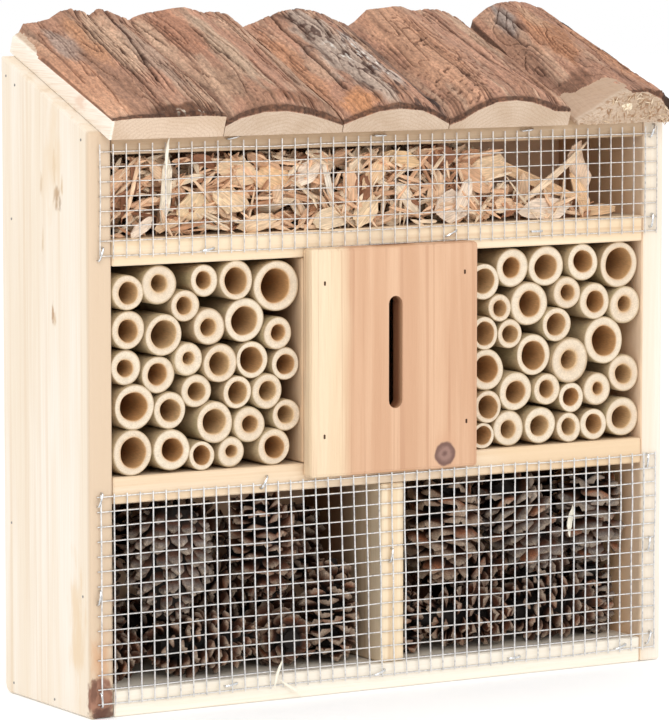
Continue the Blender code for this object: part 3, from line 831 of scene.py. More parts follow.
def roof_slab(name, shape, wood_material, bark_material):
    """One half-round slab: sawn wood below, a thick bark above with a torn front edge."""
    number = int(name[-1])
    unit, quads = block(*SLAB_CELLS)
    u, v, w = unit.T
    left, right = shape["span"]
    x = left + (right - left) * u
    along = SLAB_FRONT + (SLAB_BACK - SLAB_FRONT) * v
    wood_top = profile(shape["wood"], x) * (1 - v)
    wood_top += (profile(shape["back"], x) - BARK_AT_BACK) * v
    bark_top = profile(shape["front"], x) * (1 - v) + profile(shape["back"], x) * v
    relief, crack, lines, grit, painted_highlight = bark_relief(number, x, along)
    bare = bare_wood(number, x, along)
    rolled = 1.0 if number == 5 else 0.55 + 0.45 * smooth(0.0, 9.0, along - SLAB_FRONT)
    thickness = np.maximum((bark_top + relief - wood_top) * rolled, 0.8) * (1.0 - bare)
    thickness += bare * (0.15 + 0.5 * noise(stacked(x, along, x), (1.5, 9, 1.5), 7, 2))
    share = WOOD_ROWS / SLAB_CELLS[2]
    in_wood = np.minimum(w / share, 1.0)
    in_bark = np.clip((w - share) / (1.0 - share), 0.0, 1.0)
    height = 0.3 + (wood_top - 0.3) * in_wood + thickness * in_bark
    # The torn front edge of the bark, and the sawn end of the wood
    across = stacked(x, height * 2, 3.0)
    near_front = np.exp(-(along - SLAB_FRONT) / 2.0)
    torn = 2.0 * (noise(across, (3.0, 4.0, 5.0), 11 * number, 3) - 0.45)
    torn += 0.8 * (noise(across, (1.1, 1.1, 5.0), 12 * number) - 0.5)
    saw = 2.6 if number == 5 else 0.35
    sawn = saw * (noise(across, (1.1, 2.6, 5.0), 13 * number, 3) - 0.5)
    bark_here = smooth(0.0, 0.25, in_bark) * (1.0 - bare)
    along = along + near_front * (torn * bark_here + sawn * (1.0 - bark_here))
    along = along + near_front * 0.9 * in_bark**3
    near_back = np.exp((along - SLAB_BACK) / 2.0)
    along = along - near_back * 0.3 * np.abs(torn) * in_bark
    sway = 0.5 * (noise(stacked(x, along, height), (9, 18, 9), 3 * number) - 0.5)
    is_side = (u == 0) | (u == 1)
    inwards = np.where(u == 0, 1, -1)
    x = np.where(is_side, x + np.abs(sway) * inwards, x)
    x = np.where(is_side & (in_bark > 0), x + inwards * 0.3 * in_bark, x)
    tints = bark_tint(number, x, along, crack, lines, grit, painted_highlight)
    tints = edge_tints(number, tints, x, along, v, in_bark, is_side, bare, across)
    rows_of = (w[quads].mean(axis=1) > share + 1e-6).astype(int)
    rows_of[bare[quads].mean(axis=1) > 0.8] = 0
    return make_piece(name + "_log", on_roof(x, along, height), quads,
                      [wood_material, bark_material], "bark", tints=tints, replaces=[name],
                      rows=rows_of)


# Height of the heart that the growth rings of a slab's end go round, and their spacing
HEART_HEIGHT = 222.0
GROWTH_RING = 1.5


def slab_wood(name, middle, dull):
    """Sawn log wood: the end shows faint growth arcs about a heart below the slab."""
    material, tree, shader = new_material(name, 0.7)
    place = object_place(tree)
    centre = at((middle, 0, HEART_HEIGHT))
    moved = vector_maths(tree, "SUBTRACT", place, (centre[0], 0.0, centre[2]))
    reach = vector_maths(tree, "LENGTH", vector_maths(tree, "MULTIPLY", moved, (1.0, 0.0, 1.0)))
    wobble = grain_noise(tree, (14.0, 14.0, 14.0), 2.0, middle)
    bent = maths(tree, "ADD", reach, ramp(tree, wobble, 0.0, 1.0, 0.0, 0.004))
    waves = maths(tree, "MULTIPLY", bent, 2 * math.pi / (GROWTH_RING * MM))
    arcs = maths(tree, "SINE", waves)
    broad = grain_noise(tree, (20.0, 60.0, 12.0), 3.0, middle + 1.0)
    fine = grain_noise(tree, (0.6, 16.0, 0.6), 3.0, middle + 2.0)
    light, dark, line = rgb(226, 202, 178), rgb(214, 188, 162), rgb(180, 145, 117)
    colour = stained(tree, light * dull, dark * dull, broad, 0.35, 0.65)
    colour = stained(tree, colour, line * dull, arcs, 0.2, 1.0, 0.2)
    colour = stained(tree, colour, line * dull, fine, 0.35, 0.8, 0.4)
    if name.startswith("roof_slab_1"):
        side = by_place(tree, 0, 7.4, 6.4, 0.0, 0.9)
        streaked = stained(tree, CREAM * 1.1, STREAK, fine, 0.35, 0.8, 0.35)
        colour = mix(tree, side, colour, streaked)
        colour = patch(tree, colour, (6, 18, 262), (4, 8, 5), rgb(236, 196, 168), 0.9, 0.3, 0.6)
    if name.startswith("roof_slab_5"):
        # The rough end, and browner torn wood above it: along is the place up the slope
        slope = (0.0, math.cos(ROOF_SLOPE), math.sin(ROOF_SLOPE))
        along = vector_maths(tree, "DOT_PRODUCT", place, slope)
        front = float(np.dot(at((0, 0, FRONT_HEIGHT)), slope)) + SLAB_FRONT * MM
        end = ramp(tree, along, front + 2.6 * MM, front + 1.6 * MM, 0.0, 0.7)
        torn = grain_noise(tree, (2.0, 5.0, 1.2), 4.0, middle + 3.0, 0.8)
        share = maths(tree, "MULTIPLY", ramp(tree, torn, 0.5, 0.66), end)
        colour = mix(tree, share, colour, rgb(160, 120, 86))
        bare = mix(tree, fine, rgb(150, 112, 88), rgb(214, 180, 150))
        colour = stained(tree, colour, bare, along, front + 2.4 * MM, front + 4.4 * MM, 0.6)
        colour = patch(tree, colour, (267.5, -8, 254.6), (3.4, 6, 2.2), rgb(255, 240, 212), 0.3)
    set_surface(tree, shader, colour, fine, 0.15)
    return material


def make_roof():
    bark = tinted("bark", 0.82, (0.5, 2.4, 1.2), 0.26, 0.3)
    for name, shape in SLABS.items():
        middle = sum(shape["span"]) / 2
        dull = 1.0 if name == "roof_slab_1" else 0.88
        roof_slab(name, shape, slab_wood(name + "_wood", middle, dull), bark)
    make_end_fibres()


def make_end_fibres():
    """Torn fibres that stand out of the rough sawn end of the last slab."""
    rng = random.Random(12)
    heap = Heap()
    shape = SLABS["roof_slab_5"]
    for _ in range(80):
        x = 291 - 34 * rng.random() ** 1.4
        top = float(profile(shape["wood"], x))
        height = rng.uniform(0.08, 0.95) * top
        place = on_roof(np.array([x]), np.array([SLAB_FRONT - 0.3]), np.array([height]))[0]
        points, quads = chip(rng, rng.uniform(1.8, 4.4), rng.uniform(0.3, 0.6), 0.25, "splinter")
        turned = turning(("Y", rng.uniform(-90, 90)), ("Z", rng.uniform(-25, 25)))
        tone = rng.choice([rgb(236, 214, 186), rgb(214, 186, 154), rgb(172, 134, 102)])
        heap.add(points @ turned.T + place, quads, tone)
    heap.make("end_fibres", tinted("fibre_wood", 0.75, (0.5, 0.5, 0.5), 0.15, 0.1), slot="bark")


# ---------------------------------------------------------------- wire mesh

PITCH = 6.35
STAPLE_WIDTH = 6.0


def lattice(name, left, right, bottom, top, first_column, first_row, radius, tone, node):
    """Welded cloth: upright wires in front of level ones, all slightly bent."""
    heap = Heap()
    seed = 5 if bottom > 100 else 9
    # Uprights of the lower cloth around x 110 lean to the left
    lean = 0.0 if bottom > 100 else 2.4
    columns = np.arange(first_column, right + 0.1, PITCH)
    levels = np.arange(first_row, top + 0.1, PITCH)

    def drift(x, z):
        spot = stacked(x, z, 3.0)
        aside = 0.9 * (noise(spot, (40, 25, 9), seed) - 0.5)
        aside -= lean * np.exp(-(((x - 110) / 70) ** 2)) * (z - bottom) / (top - bottom)
        rise = 0.9 * (noise(spot, (30, 40, 9), seed + 1) - 0.5)
        out = 0.35 * noise(spot, (35, 35, 9), seed + 2)
        return aside, rise, out

    for x0 in columns:
        z = np.linspace(bottom, top, int((top - bottom) / 2.6))
        x = np.full_like(z, x0)
        aside, _, out = drift(x, z)
        heap.add(*strand(stacked(x + aside, -1.1 - out, z), radius, (0, 1, 0)))
    for z0 in levels:
        x = np.linspace(left, right, 110)
        z = np.full_like(x, z0)
        _, rise, out = drift(x, z)
        heap.add(*strand(stacked(x, -0.6 - out, z + rise), radius, (0, 1, 0)))
    heap.make(name, steel("galvanised_" + name, tone, 0.35), slot="wire", replaces=[node])


def staple(heap, x, z, turn):
    """A wire staple over the mesh, its legs sunk in the wood behind."""
    turn = math.radians(turn)
    across = np.array([math.cos(turn), 0, math.sin(turn)])
    half = STAPLE_WIDTH / 2
    steps = [(-half, 1.5), (-half, -1.2), (-half + 0.5, -1.8), (0, -1.95), (half - 0.5, -1.8),
             (half, -1.2), (half, 1.5)]
    path = [np.array([x, 0, z]) + across * a + np.array([0, y, 0]) for a, y in steps]
    normal = np.cross(across, (0, 1, 0))
    heap.add(*strand(path, 0.5, normal))


# Staples: x, z and turn in degrees
UPPER_STAPLES = [(5.2, 198.6, 70), (57.2, 198.6, 10), (180.4, 200.7, 25), (225.4, 199.8, 0),
                 (287.9, 202.3, 80), (69.7, 246.2, 10), (143.5, 245.0, 0),
                 (220.3, 245.2, 5), (288.0, 243.0, 70)]
LOWER_STAPLES = [(4.3, 94.1, 72), (3.6, 52.2, 80), (4.4, 8.0, 95), (68.0, 9.1, 8),
                 (143.3, 7.7, 20), (214.6, 8.1, 5), (272.4, 8.0, 18), (287.5, 54.4, 80),
                 (287.9, 11.0, 70), (286.4, 92.7, 85), (84.7, 96.4, 60), (149.4, 59.4, 78)]


def make_wire():
    lattice("upper_cloth", 4.6, 291.0, 196.6, 245.0, 5.0, 197.4, 0.32,
            (0.74, 0.70, 0.66), "upper_wire_mesh")
    lattice("lower_cloth", 3.0, 291.2, 5.6, 96.4, 5.0, 6.45, 0.36,
            (0.8, 0.79, 0.78), "lower_wire_mesh")
    shiny = steel("staple_steel", (0.74, 0.75, 0.76), 0.22)
    for name, places in (("upper_staples", UPPER_STAPLES), ("lower_staples", LOWER_STAPLES)):
        heap = Heap()
        for x, z, turn in places:
            staple(heap, x, z, turn)
        heap.make(name, shiny, slot="wire")


# Nails in the butterfly front at x and z, and brads in each side at depth and z
FRONT_NAILS = [(111.2, 182), (111, 115.2), (183.1, 184), (184.1, 117.7)]
SIDE_BRADS = [(67.3, 267.5), (75.6, 271.2), (6.5, 246.7), (71.3, 209.3), (73.4, 75.8),
              (7, 52), (72.2, 5), (33.6, 3.6)]


def nail_head(heap, centre, direction, radius):
    """A small domed head with a dimple, on the face that looks along direction."""
    shape = [(radius * 0.9, -0.5), (radius, 0.0), (radius * 0.92, 0.12), (radius * 0.6, 0.2),
             (radius * 0.3, 0.17)]
    points, faces = lathe(shape, 12)
    turned = Vector((0, 0, 1)).rotation_difference(Vector(direction)).to_matrix()
    heap.add(points @ np.array(turned).T + centre, faces)


def make_nails():
    dark = steel("brad_steel", (0.3, 0.29, 0.28), 0.45)
    rusty = steel("front_brad_steel", (0.1, 0.055, 0.035), 0.6)
    heap = Heap()
    for x, z in FRONT_NAILS:
        for rise in (-0.5, 0.0, 0.5):
            nail_head(heap, (x, FRONT_BOARD_FACE - 0.02, z + rise), (0, -1, 0), 0.5)
    heap.make("front_nails", rusty, slot="wire")
    for name, x, facing in (("left_brads", 0.0, -1), ("right_brads", WIDTH, 1)):
        heap = Heap()
        for y, z in SIDE_BRADS:
            nail_head(heap, (x, y, z), (facing, 0, 0), 0.6)
        heap.make(name, dark, slot="wire")


# ---------------------------------------------------------------- bamboo

FLOOR = 103.1
CEILING = 193.1
TUBE_BACK = 66.4
TUBE_SIDES = 44
# Width of the box that the record gives for a bore, as a share of the bore's diameter
BORE_BOX_SHARE = 0.676
# Tubes between the CAD ones: across from the left wall, up from the floor, outer and bore diameters
LEFT_NARROW = [(44, 6.5, 12.5, 8), (59, 7, 13, 5), (68, 18.5, 15.5, 7), (86.5, 21.5, 13, 7),
               (76.5, 32.5, 15, 8), (42, 34.5, 14, 7.5), (23.5, 42.5, 15.5, 8.5),
               (86, 44, 13.5, 8), (7.5, 46.5, 14.5, 7), (37.5, 48.5, 13.5, 5),
               (81.5, 57.5, 14, 6.5), (48, 62, 15.5, 7), (36.5, 71.5, 13.5, 7),
               (8, 78.5, 14.5, 8.5), (24, 81, 16.5, 7), (45.5, 82, 13.5, 7)]
RIGHT_NARROW = [(8.5, 6, 11.5, 8), (54.5, 7, 13, 7), (68.5, 7.5, 14, 8), (22.5, 8.5, 16, 7.5),
                (56, 20.5, 13, 7.5), (70, 23.5, 14.5, 5), (42.5, 25, 13.5, 7), (85, 30, 16, 8),
                (54.5, 37.5, 20, 8), (23, 51, 12, 7), (85, 61, 16.5, 6.5), (17, 63, 12, 6.5),
                (68.5, 63.5, 15.5, 8.5), (53.5, 68, 14, 6.5)]


def tube_rings(outer_r, bore_r, front, back, rng):
    """Rings of a tube from its back over the skin and the cut face to the knot in the bore:
    radius, depth, and kind, which is 1 on the skin, falls to 0 over the face and is below 0
    in the bore."""
    edge = 0.35
    wall = outer_r - bore_r
    depth = rng.uniform(34, 50)
    rings = [(outer_r * 0.9, back, 0.2), (outer_r, back - 1, 1.0)]
    for share in (0.75, 0.5, 0.25, 0.08):
        rings.append((outer_r, front + (back - front) * share, 1.0))
    rings += [(outer_r, front + edge, 1.0), (outer_r - edge * 0.4, front + edge * 0.3, 0.97)]
    for share in (0.9, 0.75, 0.5, 0.25, 0.1):
        rings.append((bore_r + wall * share, front - 0.05 + 0.1 * rng.random(), share))
    rings += [(bore_r + 0.12, front + 0.25, 0.02), (bore_r, front + 0.7, 0.0)]
    for share in (0.1, 0.3, 0.6, 0.95):
        rings.append((bore_r, front + depth * share, -share))
    return rings + [(bore_r * 0.85, front + depth, -1.0),
                    (bore_r * 0.25, front + depth + 0.8, -1.0)]


def bamboo(name, x, z, outer, bore, front, back, rng, material, replaces=()):
    """One cut tube: skin, sawn end face, soft edged bore and a knot that closes it inside."""
    rings = tube_rings(outer / 2, bore / 2, front, back, rng)
    wall = outer / 2 - bore / 2
    points, faces = lathe([(r, y) for r, y, _ in rings], TUBE_SIDES)
    kinds = np.repeat([kind for _, _, kind in rings], TUBE_SIDES)
    angles = np.tile(np.arange(TUBE_SIDES) * 2 * math.pi / TUBE_SIDES, len(rings))
    lobes = 1 + 0.018 * np.sin(2 * angles + rng.uniform(0, 6.3))
    lobes += 0.01 * np.sin(3 * angles + rng.uniform(0, 6.3))
    inner_lobes = 1 + 0.035 * np.sin(2 * angles + rng.uniform(0, 6.3))
    inner_lobes += 0.012 * np.sin(5 * angles + rng.uniform(0, 6.3))
    blend = np.clip(kinds, 0, 1)
    factor = lobes * blend + inner_lobes * (1 - blend)
    off = wall * 0.12 * (1 - blend)
    lean_angle = rng.uniform(0, 6.3)
    flat_x = points[:, 0] * factor + off * math.cos(lean_angle)
    flat_z = points[:, 1] * factor + off * math.sin(lean_angle)
    slant_x, slant_z = rng.uniform(-0.03, 0.03), rng.uniform(-0.03, 0.03)
    near = (points[:, 2] < front + 2).astype(float)
    y = points[:, 2] + near * (slant_x * flat_x + slant_z * flat_z)
    placed = stacked(x + flat_x, y, z + flat_z)
    faces = [tuple(reversed(face)) for face in faces]
    return make_piece(name, placed, faces, material, "bamboo", replaces=replaces,
                      tints=tube_tints(placed, kinds, int(x * 7 + z), int(x * 3 + z), rng))


def tube_tints(placed, kinds, grain_seed, blotch_seed, rng):
    """Tan skin with green blotches, a pale cut face, and a bore that darkens with depth in painted
    shade.
    """
    face_colour = mixed(rgb(238, 219, 192), rgb(224, 196, 164), rng.random())
    skin = mixed(rgb(206, 182, 144), rgb(186, 158, 122), rng.random())
    inner = mixed(rgb(222, 188, 142), rgb(206, 158, 106), rng.random())
    grain = noise(placed, (0.7, 4.0, 0.7), grain_seed, 2)
    blotches = noise(placed, (5.0, 12.0, 5.0), blotch_seed, 2)
    tints = np.tile(face_colour, (len(placed), 1))
    tints = mixed(tints, rgb(250, 236, 214), 0.5 * smooth(0.05, 0.5, kinds) * (kinds < 0.8))
    tints = mixed(tints, skin, smooth(0.8, 0.97, kinds))
    tints = mixed(tints, rgb(178, 168, 120), 0.35 * smooth(0.5, 0.75, blotches) * (kinds > 0.9))
    tints = mixed(tints, skin * 0.66, ((kinds > 0.96) & (kinds < 1)).astype(float))
    tints = tints * (0.83 + 0.24 * grain)[:, None]
    tints = mixed(tints, inner, 1 - smooth(0.0, 0.2, kinds))
    # Painted shade: the bore darkens with depth
    return mixed(tints, rgb(158, 108, 68), 0.85 * smooth(0.15, 0.8, -kinds))


def grown(tubes, left, right):
    """The tubes of a compartment, each widened until it touches a neighbour or a board."""
    radii = [tube[3] / 2 for tube in tubes]
    limits = [radius * 1.1 for radius in radii]
    for _ in range(12):
        for i, (_, x, z, *_) in enumerate(tubes):
            room = [x - left, right - x, z - FLOOR, CEILING - z, limits[i], radii[i] * 1.01]
            room += [math.dist((x, z), other[1:3]) - radii[j]
                     for j, other in enumerate(tubes) if j != i]
            radii[i] = max(radii[i], min(room))
    return [(tube, 2 * radius / tube[3]) for tube, radius in zip(tubes, radii)]


def make_bamboo():
    rng = random.Random(21)
    material = tinted("bamboo_cut", 0.6, (0.35, 2.5, 0.35), 0.16, 0.08)
    openings = {item["name"]: item["box_m"] for item in frame["record"]["physics"]["openings"]}
    for side, (left, right), narrow in (("left", LEFT_WALLS, LEFT_NARROW),
                                        ("right", RIGHT_WALLS, RIGHT_NARROW)):
        # Name, across, up, outer and bore diameters, front, back, and the CAD node it stands for
        tubes = []
        for node in sorted(frame["nodes"]):
            if not node.startswith("bamboo_" + side):
                continue
            low, high = node_box(node)
            box = openings[node + "_bore"]
            bore = (box[1][0] - box[0][0]) / MM / BORE_BOX_SHARE
            tubes.append((node.replace("bamboo", "tube"), (low[0] + high[0]) / 2,
                          (low[2] + high[2]) / 2, high[0] - low[0], bore, low[1], high[1],
                          [node]))
        for number, (across, height, outer, bore) in enumerate(narrow, 1):
            tubes.append((f"narrow_tube_{side}_{number:02d}", left + across, FLOOR + height,
                          outer, bore, rng.uniform(0.8, 3.0), TUBE_BACK, []))
        for (name, x, z, outer, bore, front, back, nodes), growth in grown(tubes, left, right):
            bamboo(name, x, z, outer * growth, bore * growth, front, back, rng, material, nodes)


# ---------------------------------------------------------------- pine cones

# A cone's radius along it from stalk to tip, both as shares
CONE_OUTLINE = [(0.0, 0.62), (0.12, 0.9), (0.3, 1.0), (0.55, 0.92), (0.8, 0.66), (1.0, 0.3)]
GREY_CONE = rgb(136, 124, 116)
BROWN_CONE = rgb(128, 102, 86)
TAN_CONE = rgb(152, 122, 100)
RED_CONE = rgb(126, 84, 64)
WARM_SCALE = rgb(146, 88, 56)
# Length, radius, lean, turn, colour, how open, and how wide its scales are
CONES = {
    # The first grey cone's colour is scaled by 0.9 as painted shade
    "pine_cone_left_1": (56, 18.5, 183, 0, GREY_CONE * 0.9, 0.2, 0.5),
    "pine_cone_left_2": (58, 14.5, 90, 0, TAN_CONE, 1.0, 0.62),
    "pine_cone_left_3": (52, 15.5, 170, 0, RED_CONE, 0.9, 0.8),
    "pine_cone_left_4": (46, 13.6, 90, 90, TAN_CONE, 0.9, 0.9),
    "pine_cone_left_5": (50, 14.6, 6, 0, TAN_CONE, 0.8, 0.85),
    "pine_cone_left_6": (54, 13.0, 175, 0, BROWN_CONE, 0.7, 0.9),
    "pine_cone_right_1": (52, 17.8, 184, 0, TAN_CONE, 0.45, 1.1),
    "pine_cone_right_2": (56, 14.4, -90, 0, BROWN_CONE, 1.0, 0.62),
    "pine_cone_right_3": (56, 17.2, 146, 0, GREY_CONE, 0.6, 0.9),
    "pine_cone_right_4": (58, 15.4, 88, 0, BROWN_CONE, 1.0, 0.62),
    "pine_cone_right_5": (48, 15.8, 178, 0, GREY_CONE, 0.4, 1.1),
    "pine_cone_right_6": (48, 13.4, 6, 0, GREY_CONE, 0.8, 0.9),
}
# Cones behind and between them: centre, then the same values. Colours scaled down by 0.4 to 0.6 are
# painted shade
MORE_CONES = {
    "back_cone_1": ((64, 49, 30), (48, 14.5, 90, 0, BROWN_CONE, 0.9, 0.8)),
    "back_cone_2": ((114, 46, 60), (46, 14.0, 90, 12, BROWN_CONE, 0.8, 0.9)),
    "back_cone_3": ((70, 46, 70), (46, 15.0, 80, -15, BROWN_CONE, 0.8, 0.9)),
    "back_cone_4": ((34, 50, 72), (44, 15.0, 5, 0, RED_CONE, 0.8, 0.9)),
    "back_cone_5": ((112, 50, 28), (48, 14.0, 84, 0, RED_CONE, 0.9, 0.8)),
    "back_cone_6": ((27, 26, 22), (34, 11.5, 80, 30, RED_CONE * 0.4, 0.9, 0.8)),
    "back_cone_7": ((172, 48, 66), (44, 14.0, 0, 0, BROWN_CONE, 0.8, 0.9)),
    "back_cone_8": ((222, 49, 36), (50, 14.5, 85, 5, BROWN_CONE, 0.9, 0.8)),
    "back_cone_9": ((214, 49, 70), (46, 14.5, 92, -8, GREY_CONE, 0.8, 0.9)),
    "back_cone_10": ((260, 50, 72), (42, 14.0, 8, 0, BROWN_CONE, 0.8, 0.9)),
    "back_cone_11": ((182, 50, 30), (44, 14.0, 90, 10, RED_CONE, 0.8, 0.9)),
    "back_cone_12": ((169, 22, 24), (36, 10.5, 10, 0, RED_CONE, 0.8, 0.9)),
    "back_cone_13": ((246, 26, 46), (34, 12.0, 60, 20, BROWN_CONE, 0.8, 0.9)),
    "back_cone_15": ((271, 21, 27), (38, 11.5, 176, 0, GREY_CONE, 0.5, 1.0)),
    "back_cone_16": ((85, 42, 46), (40, 13.0, 100, -20, RED_CONE * 0.5, 0.8, 0.9)),
    "back_cone_17": ((131, 50, 60), (40, 12.5, 10, 0, BROWN_CONE * 0.6, 0.8, 0.9)),
    "back_cone_14": ((212, 30, 46), (36, 12.0, 100, -20, RED_CONE, 0.8, 0.9)),
}


def cone_scale(unit, length, width, thick, curl, tip_colour, tip_start, rng):
    """One scale along +x from its root, flat across y, its lower side thickened at the tip."""
    v, u, w = unit.T
    side = u * 2 - 1
    rounding = np.sqrt(np.clip(1 - np.clip((v - 0.7) / 0.3, 0, 1) ** 2, 0.02, 1))
    half = width / 2 * (0.35 + 0.65 * np.sin(np.minimum(v * 1.15, 1) * math.pi / 2)) * rounding
    lip = smooth(0.6, 0.82, v)
    body = thick * (0.4 + 0.9 * lip) * (1 - 0.45 * side**2)
    umbo = 0.7 * thick * np.exp(-(((v - 0.88) / 0.08) ** 2 + (side / 0.35) ** 2))
    warp = rng.uniform(-0.12, 0.12)
    x = v * length
    y = side * half + warp * length * v**2
    z = curl * length * v**2.2 + (w - 1) * (body + umbo) + 0.1 * width * side**2
    z = z + 0.12 * width * side * rng.uniform(-1, 1)
    # Painted shade: near black at the scale's root, rising to its own brown towards the tip
    tints = mixed(rgb(22, 14, 10), rgb(112, 64, 40), smooth(0.35, 0.85, v))
    tip = smooth(tip_start, tip_start + 0.15, v)
    tints = mixed(tints, tip_colour, tip * (0.35 + 0.65 * (w < 0.5)))
    # Painted highlight along the rim
    rim = smooth(0.84, 1.0, np.maximum(v, 0.9 * np.abs(side) * (v > 0.6)))
    tints = mixed(tints, rgb(206, 186, 164), 0.6 * rim)
    tints = mixed(tints, rgb(96, 72, 60), 0.6 * np.exp(-((side / 0.3) ** 2)) * lip * (w < 0.5))
    return stacked(x, y, z), tints


def pine_cone(name, centre, spec, material, replaces=()):
    """Scales set in a spiral round a woody core, open at the stalk end and closed at the tip."""
    length, radius, lean, turn, colour, openness, wide = spec
    rng = random.Random(name)
    turned = turning(("Z", turn), ("Y", lean))
    closed = openness < 0.3
    thickness = 1.7 if closed else 1.0
    heap = Heap()
    core = [(radius * 0.3, -length * 0.42), (radius * 0.45, -length * 0.2),
            (radius * 0.4, length * 0.2), (radius * 0.12, length * 0.44)]
    points, faces = lathe([(r * thickness, h) for r, h in core], 10)
    # A near black core: painted shade inside the cone
    heap.add(points @ turned.T + centre, faces, rgb(26, 18, 14))
    unit, quads = block(6, 6, 1)
    count = int(length * (1.15 / wide if closed else 1.75 - 0.35 * wide))
    for i in range(count):
        share = (i + 0.5) / count
        if rng.random() < 0.05 and not closed:
            continue
        outline = float(profile(CONE_OUTLINE, share))
        angle = math.radians(137.5 * i + rng.uniform(-8, 8))
        lift = math.radians(-14 + 84 * share**1.2 + 34 * (1 - openness) + rng.uniform(-11, 11))
        root = radius * 0.22
        if closed:
            lift = math.radians(52 + 22 * share + rng.uniform(-7, 7))
            root = radius * 0.6 * outline
        reach = radius * outline * rng.uniform(0.88, 1.05) - root
        size = reach / max(math.cos(lift), 0.45)
        along = length * (share * 0.84 - 0.42) - 0.5 * size * math.sin(lift)
        tip = np.clip(colour * rng.uniform(0.6, 1.35) * (1.06 - 0.35 * openness), 0, 1)
        if i % 6 == 4 and not closed:
            tip = WARM_SCALE
        curl = rng.uniform(-0.26, -0.08) * openness if share < 0.75 else 0.05
        breadth = 0.8 * wide * radius * outline * rng.uniform(0.85, 1.15)
        tip_start = 0.6 + 0.16 * openness
        points, tints = cone_scale(unit, size, breadth, 1.3, curl, tip, tip_start, rng)
        ca, sa, cl, sl = math.cos(angle), math.sin(angle), math.cos(lift), math.sin(lift)
        out = root + points[:, 0] * cl - points[:, 2] * sl
        up = along + points[:, 0] * sl + points[:, 2] * cl
        local = stacked(out * ca - points[:, 1] * sa, out * sa + points[:, 1] * ca, up)
        heap.add(local @ turned.T + centre, quads, tints)
    heap.make(name, material, slot="pine_cone", replaces=replaces)


def make_cones():
    material = tinted("cone_scales", 0.75, (0.6, 0.6, 0.6), 0.4, 0.2)
    for node, spec in CONES.items():
        low, high = node_box(node)
        pine_cone(node.replace("pine_cone", "cone"), (low + high) / 2, spec, material, [node])
    for name, (centre, spec) in MORE_CONES.items():
        pine_cone(name, np.array(centre, float), spec, material)


# ---------------------------------------------------------------- wood chips

# Colours of the loose chips, and how often each one comes
CHIP_COLOURS = [rgb(254, 227, 194), rgb(246, 209, 173), rgb(230, 188, 152), rgb(208, 166, 132),
                rgb(178, 132, 100), rgb(138, 94, 68)]
CHIP_SHARES = [27, 27, 18, 11, 10, 7]
BRIGHT_CHIP = rgb(255, 231, 207)
BRIGHTEST_CHIP = 0.93
# The room that every chip stays in
CHIP_LOW = np.array([11.6, -0.2, 204.4])
CHIP_HIGH = np.array([283.4, 66.8, 239.4])
# Chips that stand out: x, depth, z, length, width, turn in the front plane, shape, colour
SHOWN_CHIPS = [
    (237, 0.8, 230.5, 50, 3.0, 34, "splinter", rgb(250, 220, 186)),
    (222, 3.6, 227.0, 70, 5.0, -24, "splinter", rgb(214, 178, 140)),
    (253, 5.0, 214.0, 22, 6.0, -62, "splinter", rgb(212, 176, 138)),
    (253, 6.5, 230.6, 17, 14, 72, "flat", rgb(244, 212, 182)),
    (182, 1.8, 209.8, 15, 14, 20, "flat", BRIGHT_CHIP),
    (188.5, 1.6, 217.0, 15, 6, 62, "flat", BRIGHT_CHIP),
    (231.5, 2.0, 208.8, 26, 9.5, -4, "flat", BRIGHT_CHIP),
    (38, 1.2, 229.0, 29, 4.4, 86, "splinter", rgb(255, 240, 216)),
    (47, 2.0, 228.0, 19, 3.4, 14, "splinter", rgb(250, 226, 194)),
    (44, 2.6, 211.5, 20, 6, 33, "flat", rgb(240, 208, 172)),
    (74, 2.2, 231.0, 17, 12.5, 8, "flat", rgb(236, 202, 164)),
    (91, 2.2, 227.5, 16, 12, -28, "flat", rgb(234, 194, 150)),
    (108.5, 1.4, 230.0, 15, 9, 22, "flat", BRIGHT_CHIP),
    (118.4, 1.0, 226.0, 29, 2.8, -78, "splinter", rgb(255, 240, 220)),
    (26.5, 1.2, 206.6, 12, 4.6, 30, "flat", BRIGHT_CHIP),
    (53, 1.8, 217.0, 15, 13, 40, "flat", rgb(246, 214, 172)),
    (70, 2.0, 219.0, 16, 11, -35, "flat", rgb(240, 208, 170)),
    (121, 1.6, 209.5, 20, 9, 12, "flat", rgb(246, 220, 186)),
    (138, 1.8, 210.5, 15, 10, 48, "flat", rgb(242, 212, 174)),
    (84, 2.4, 208.5, 18, 7, 20, "flat", rgb(240, 208, 172)),
    (143, 2.0, 229.0, 16, 8, 60, "flat", rgb(232, 196, 156)),
    (158, 3.0, 234.0, 19, 7, -6, "flat", rgb(230, 194, 150)),
    (204, 3.0, 229.0, 18, 10, 8, "flat", rgb(238, 204, 166)),
    (160, 3.0, 217.0, 18, 6, -48, "splinter", rgb(250, 226, 196)),
    (262, 7.0, 206.4, 19, 5, 8, "flat", rgb(222, 188, 150)),
]
# Nearest and furthest depth, number, and share of broad flat chips
CHIP_LAYERS = [(1.2, 7, 420, 0.1), (5, 18, 360, 0.3), (16, 60, 400, 0.6)]
# Slivers in the meshes: x, depth, z, length, width, turn in the front plane
SLIVERS = [(245.5, 0.6, 67.5, 14.5, 2.6, 80), (36.6, -2.2, 240.5, 14, 1.3, 84),
           (90.5, -2.4, 12.0, 12, 1.2, 70), (97.0, -2.6, 5.5, 15, 1.0, -32)]


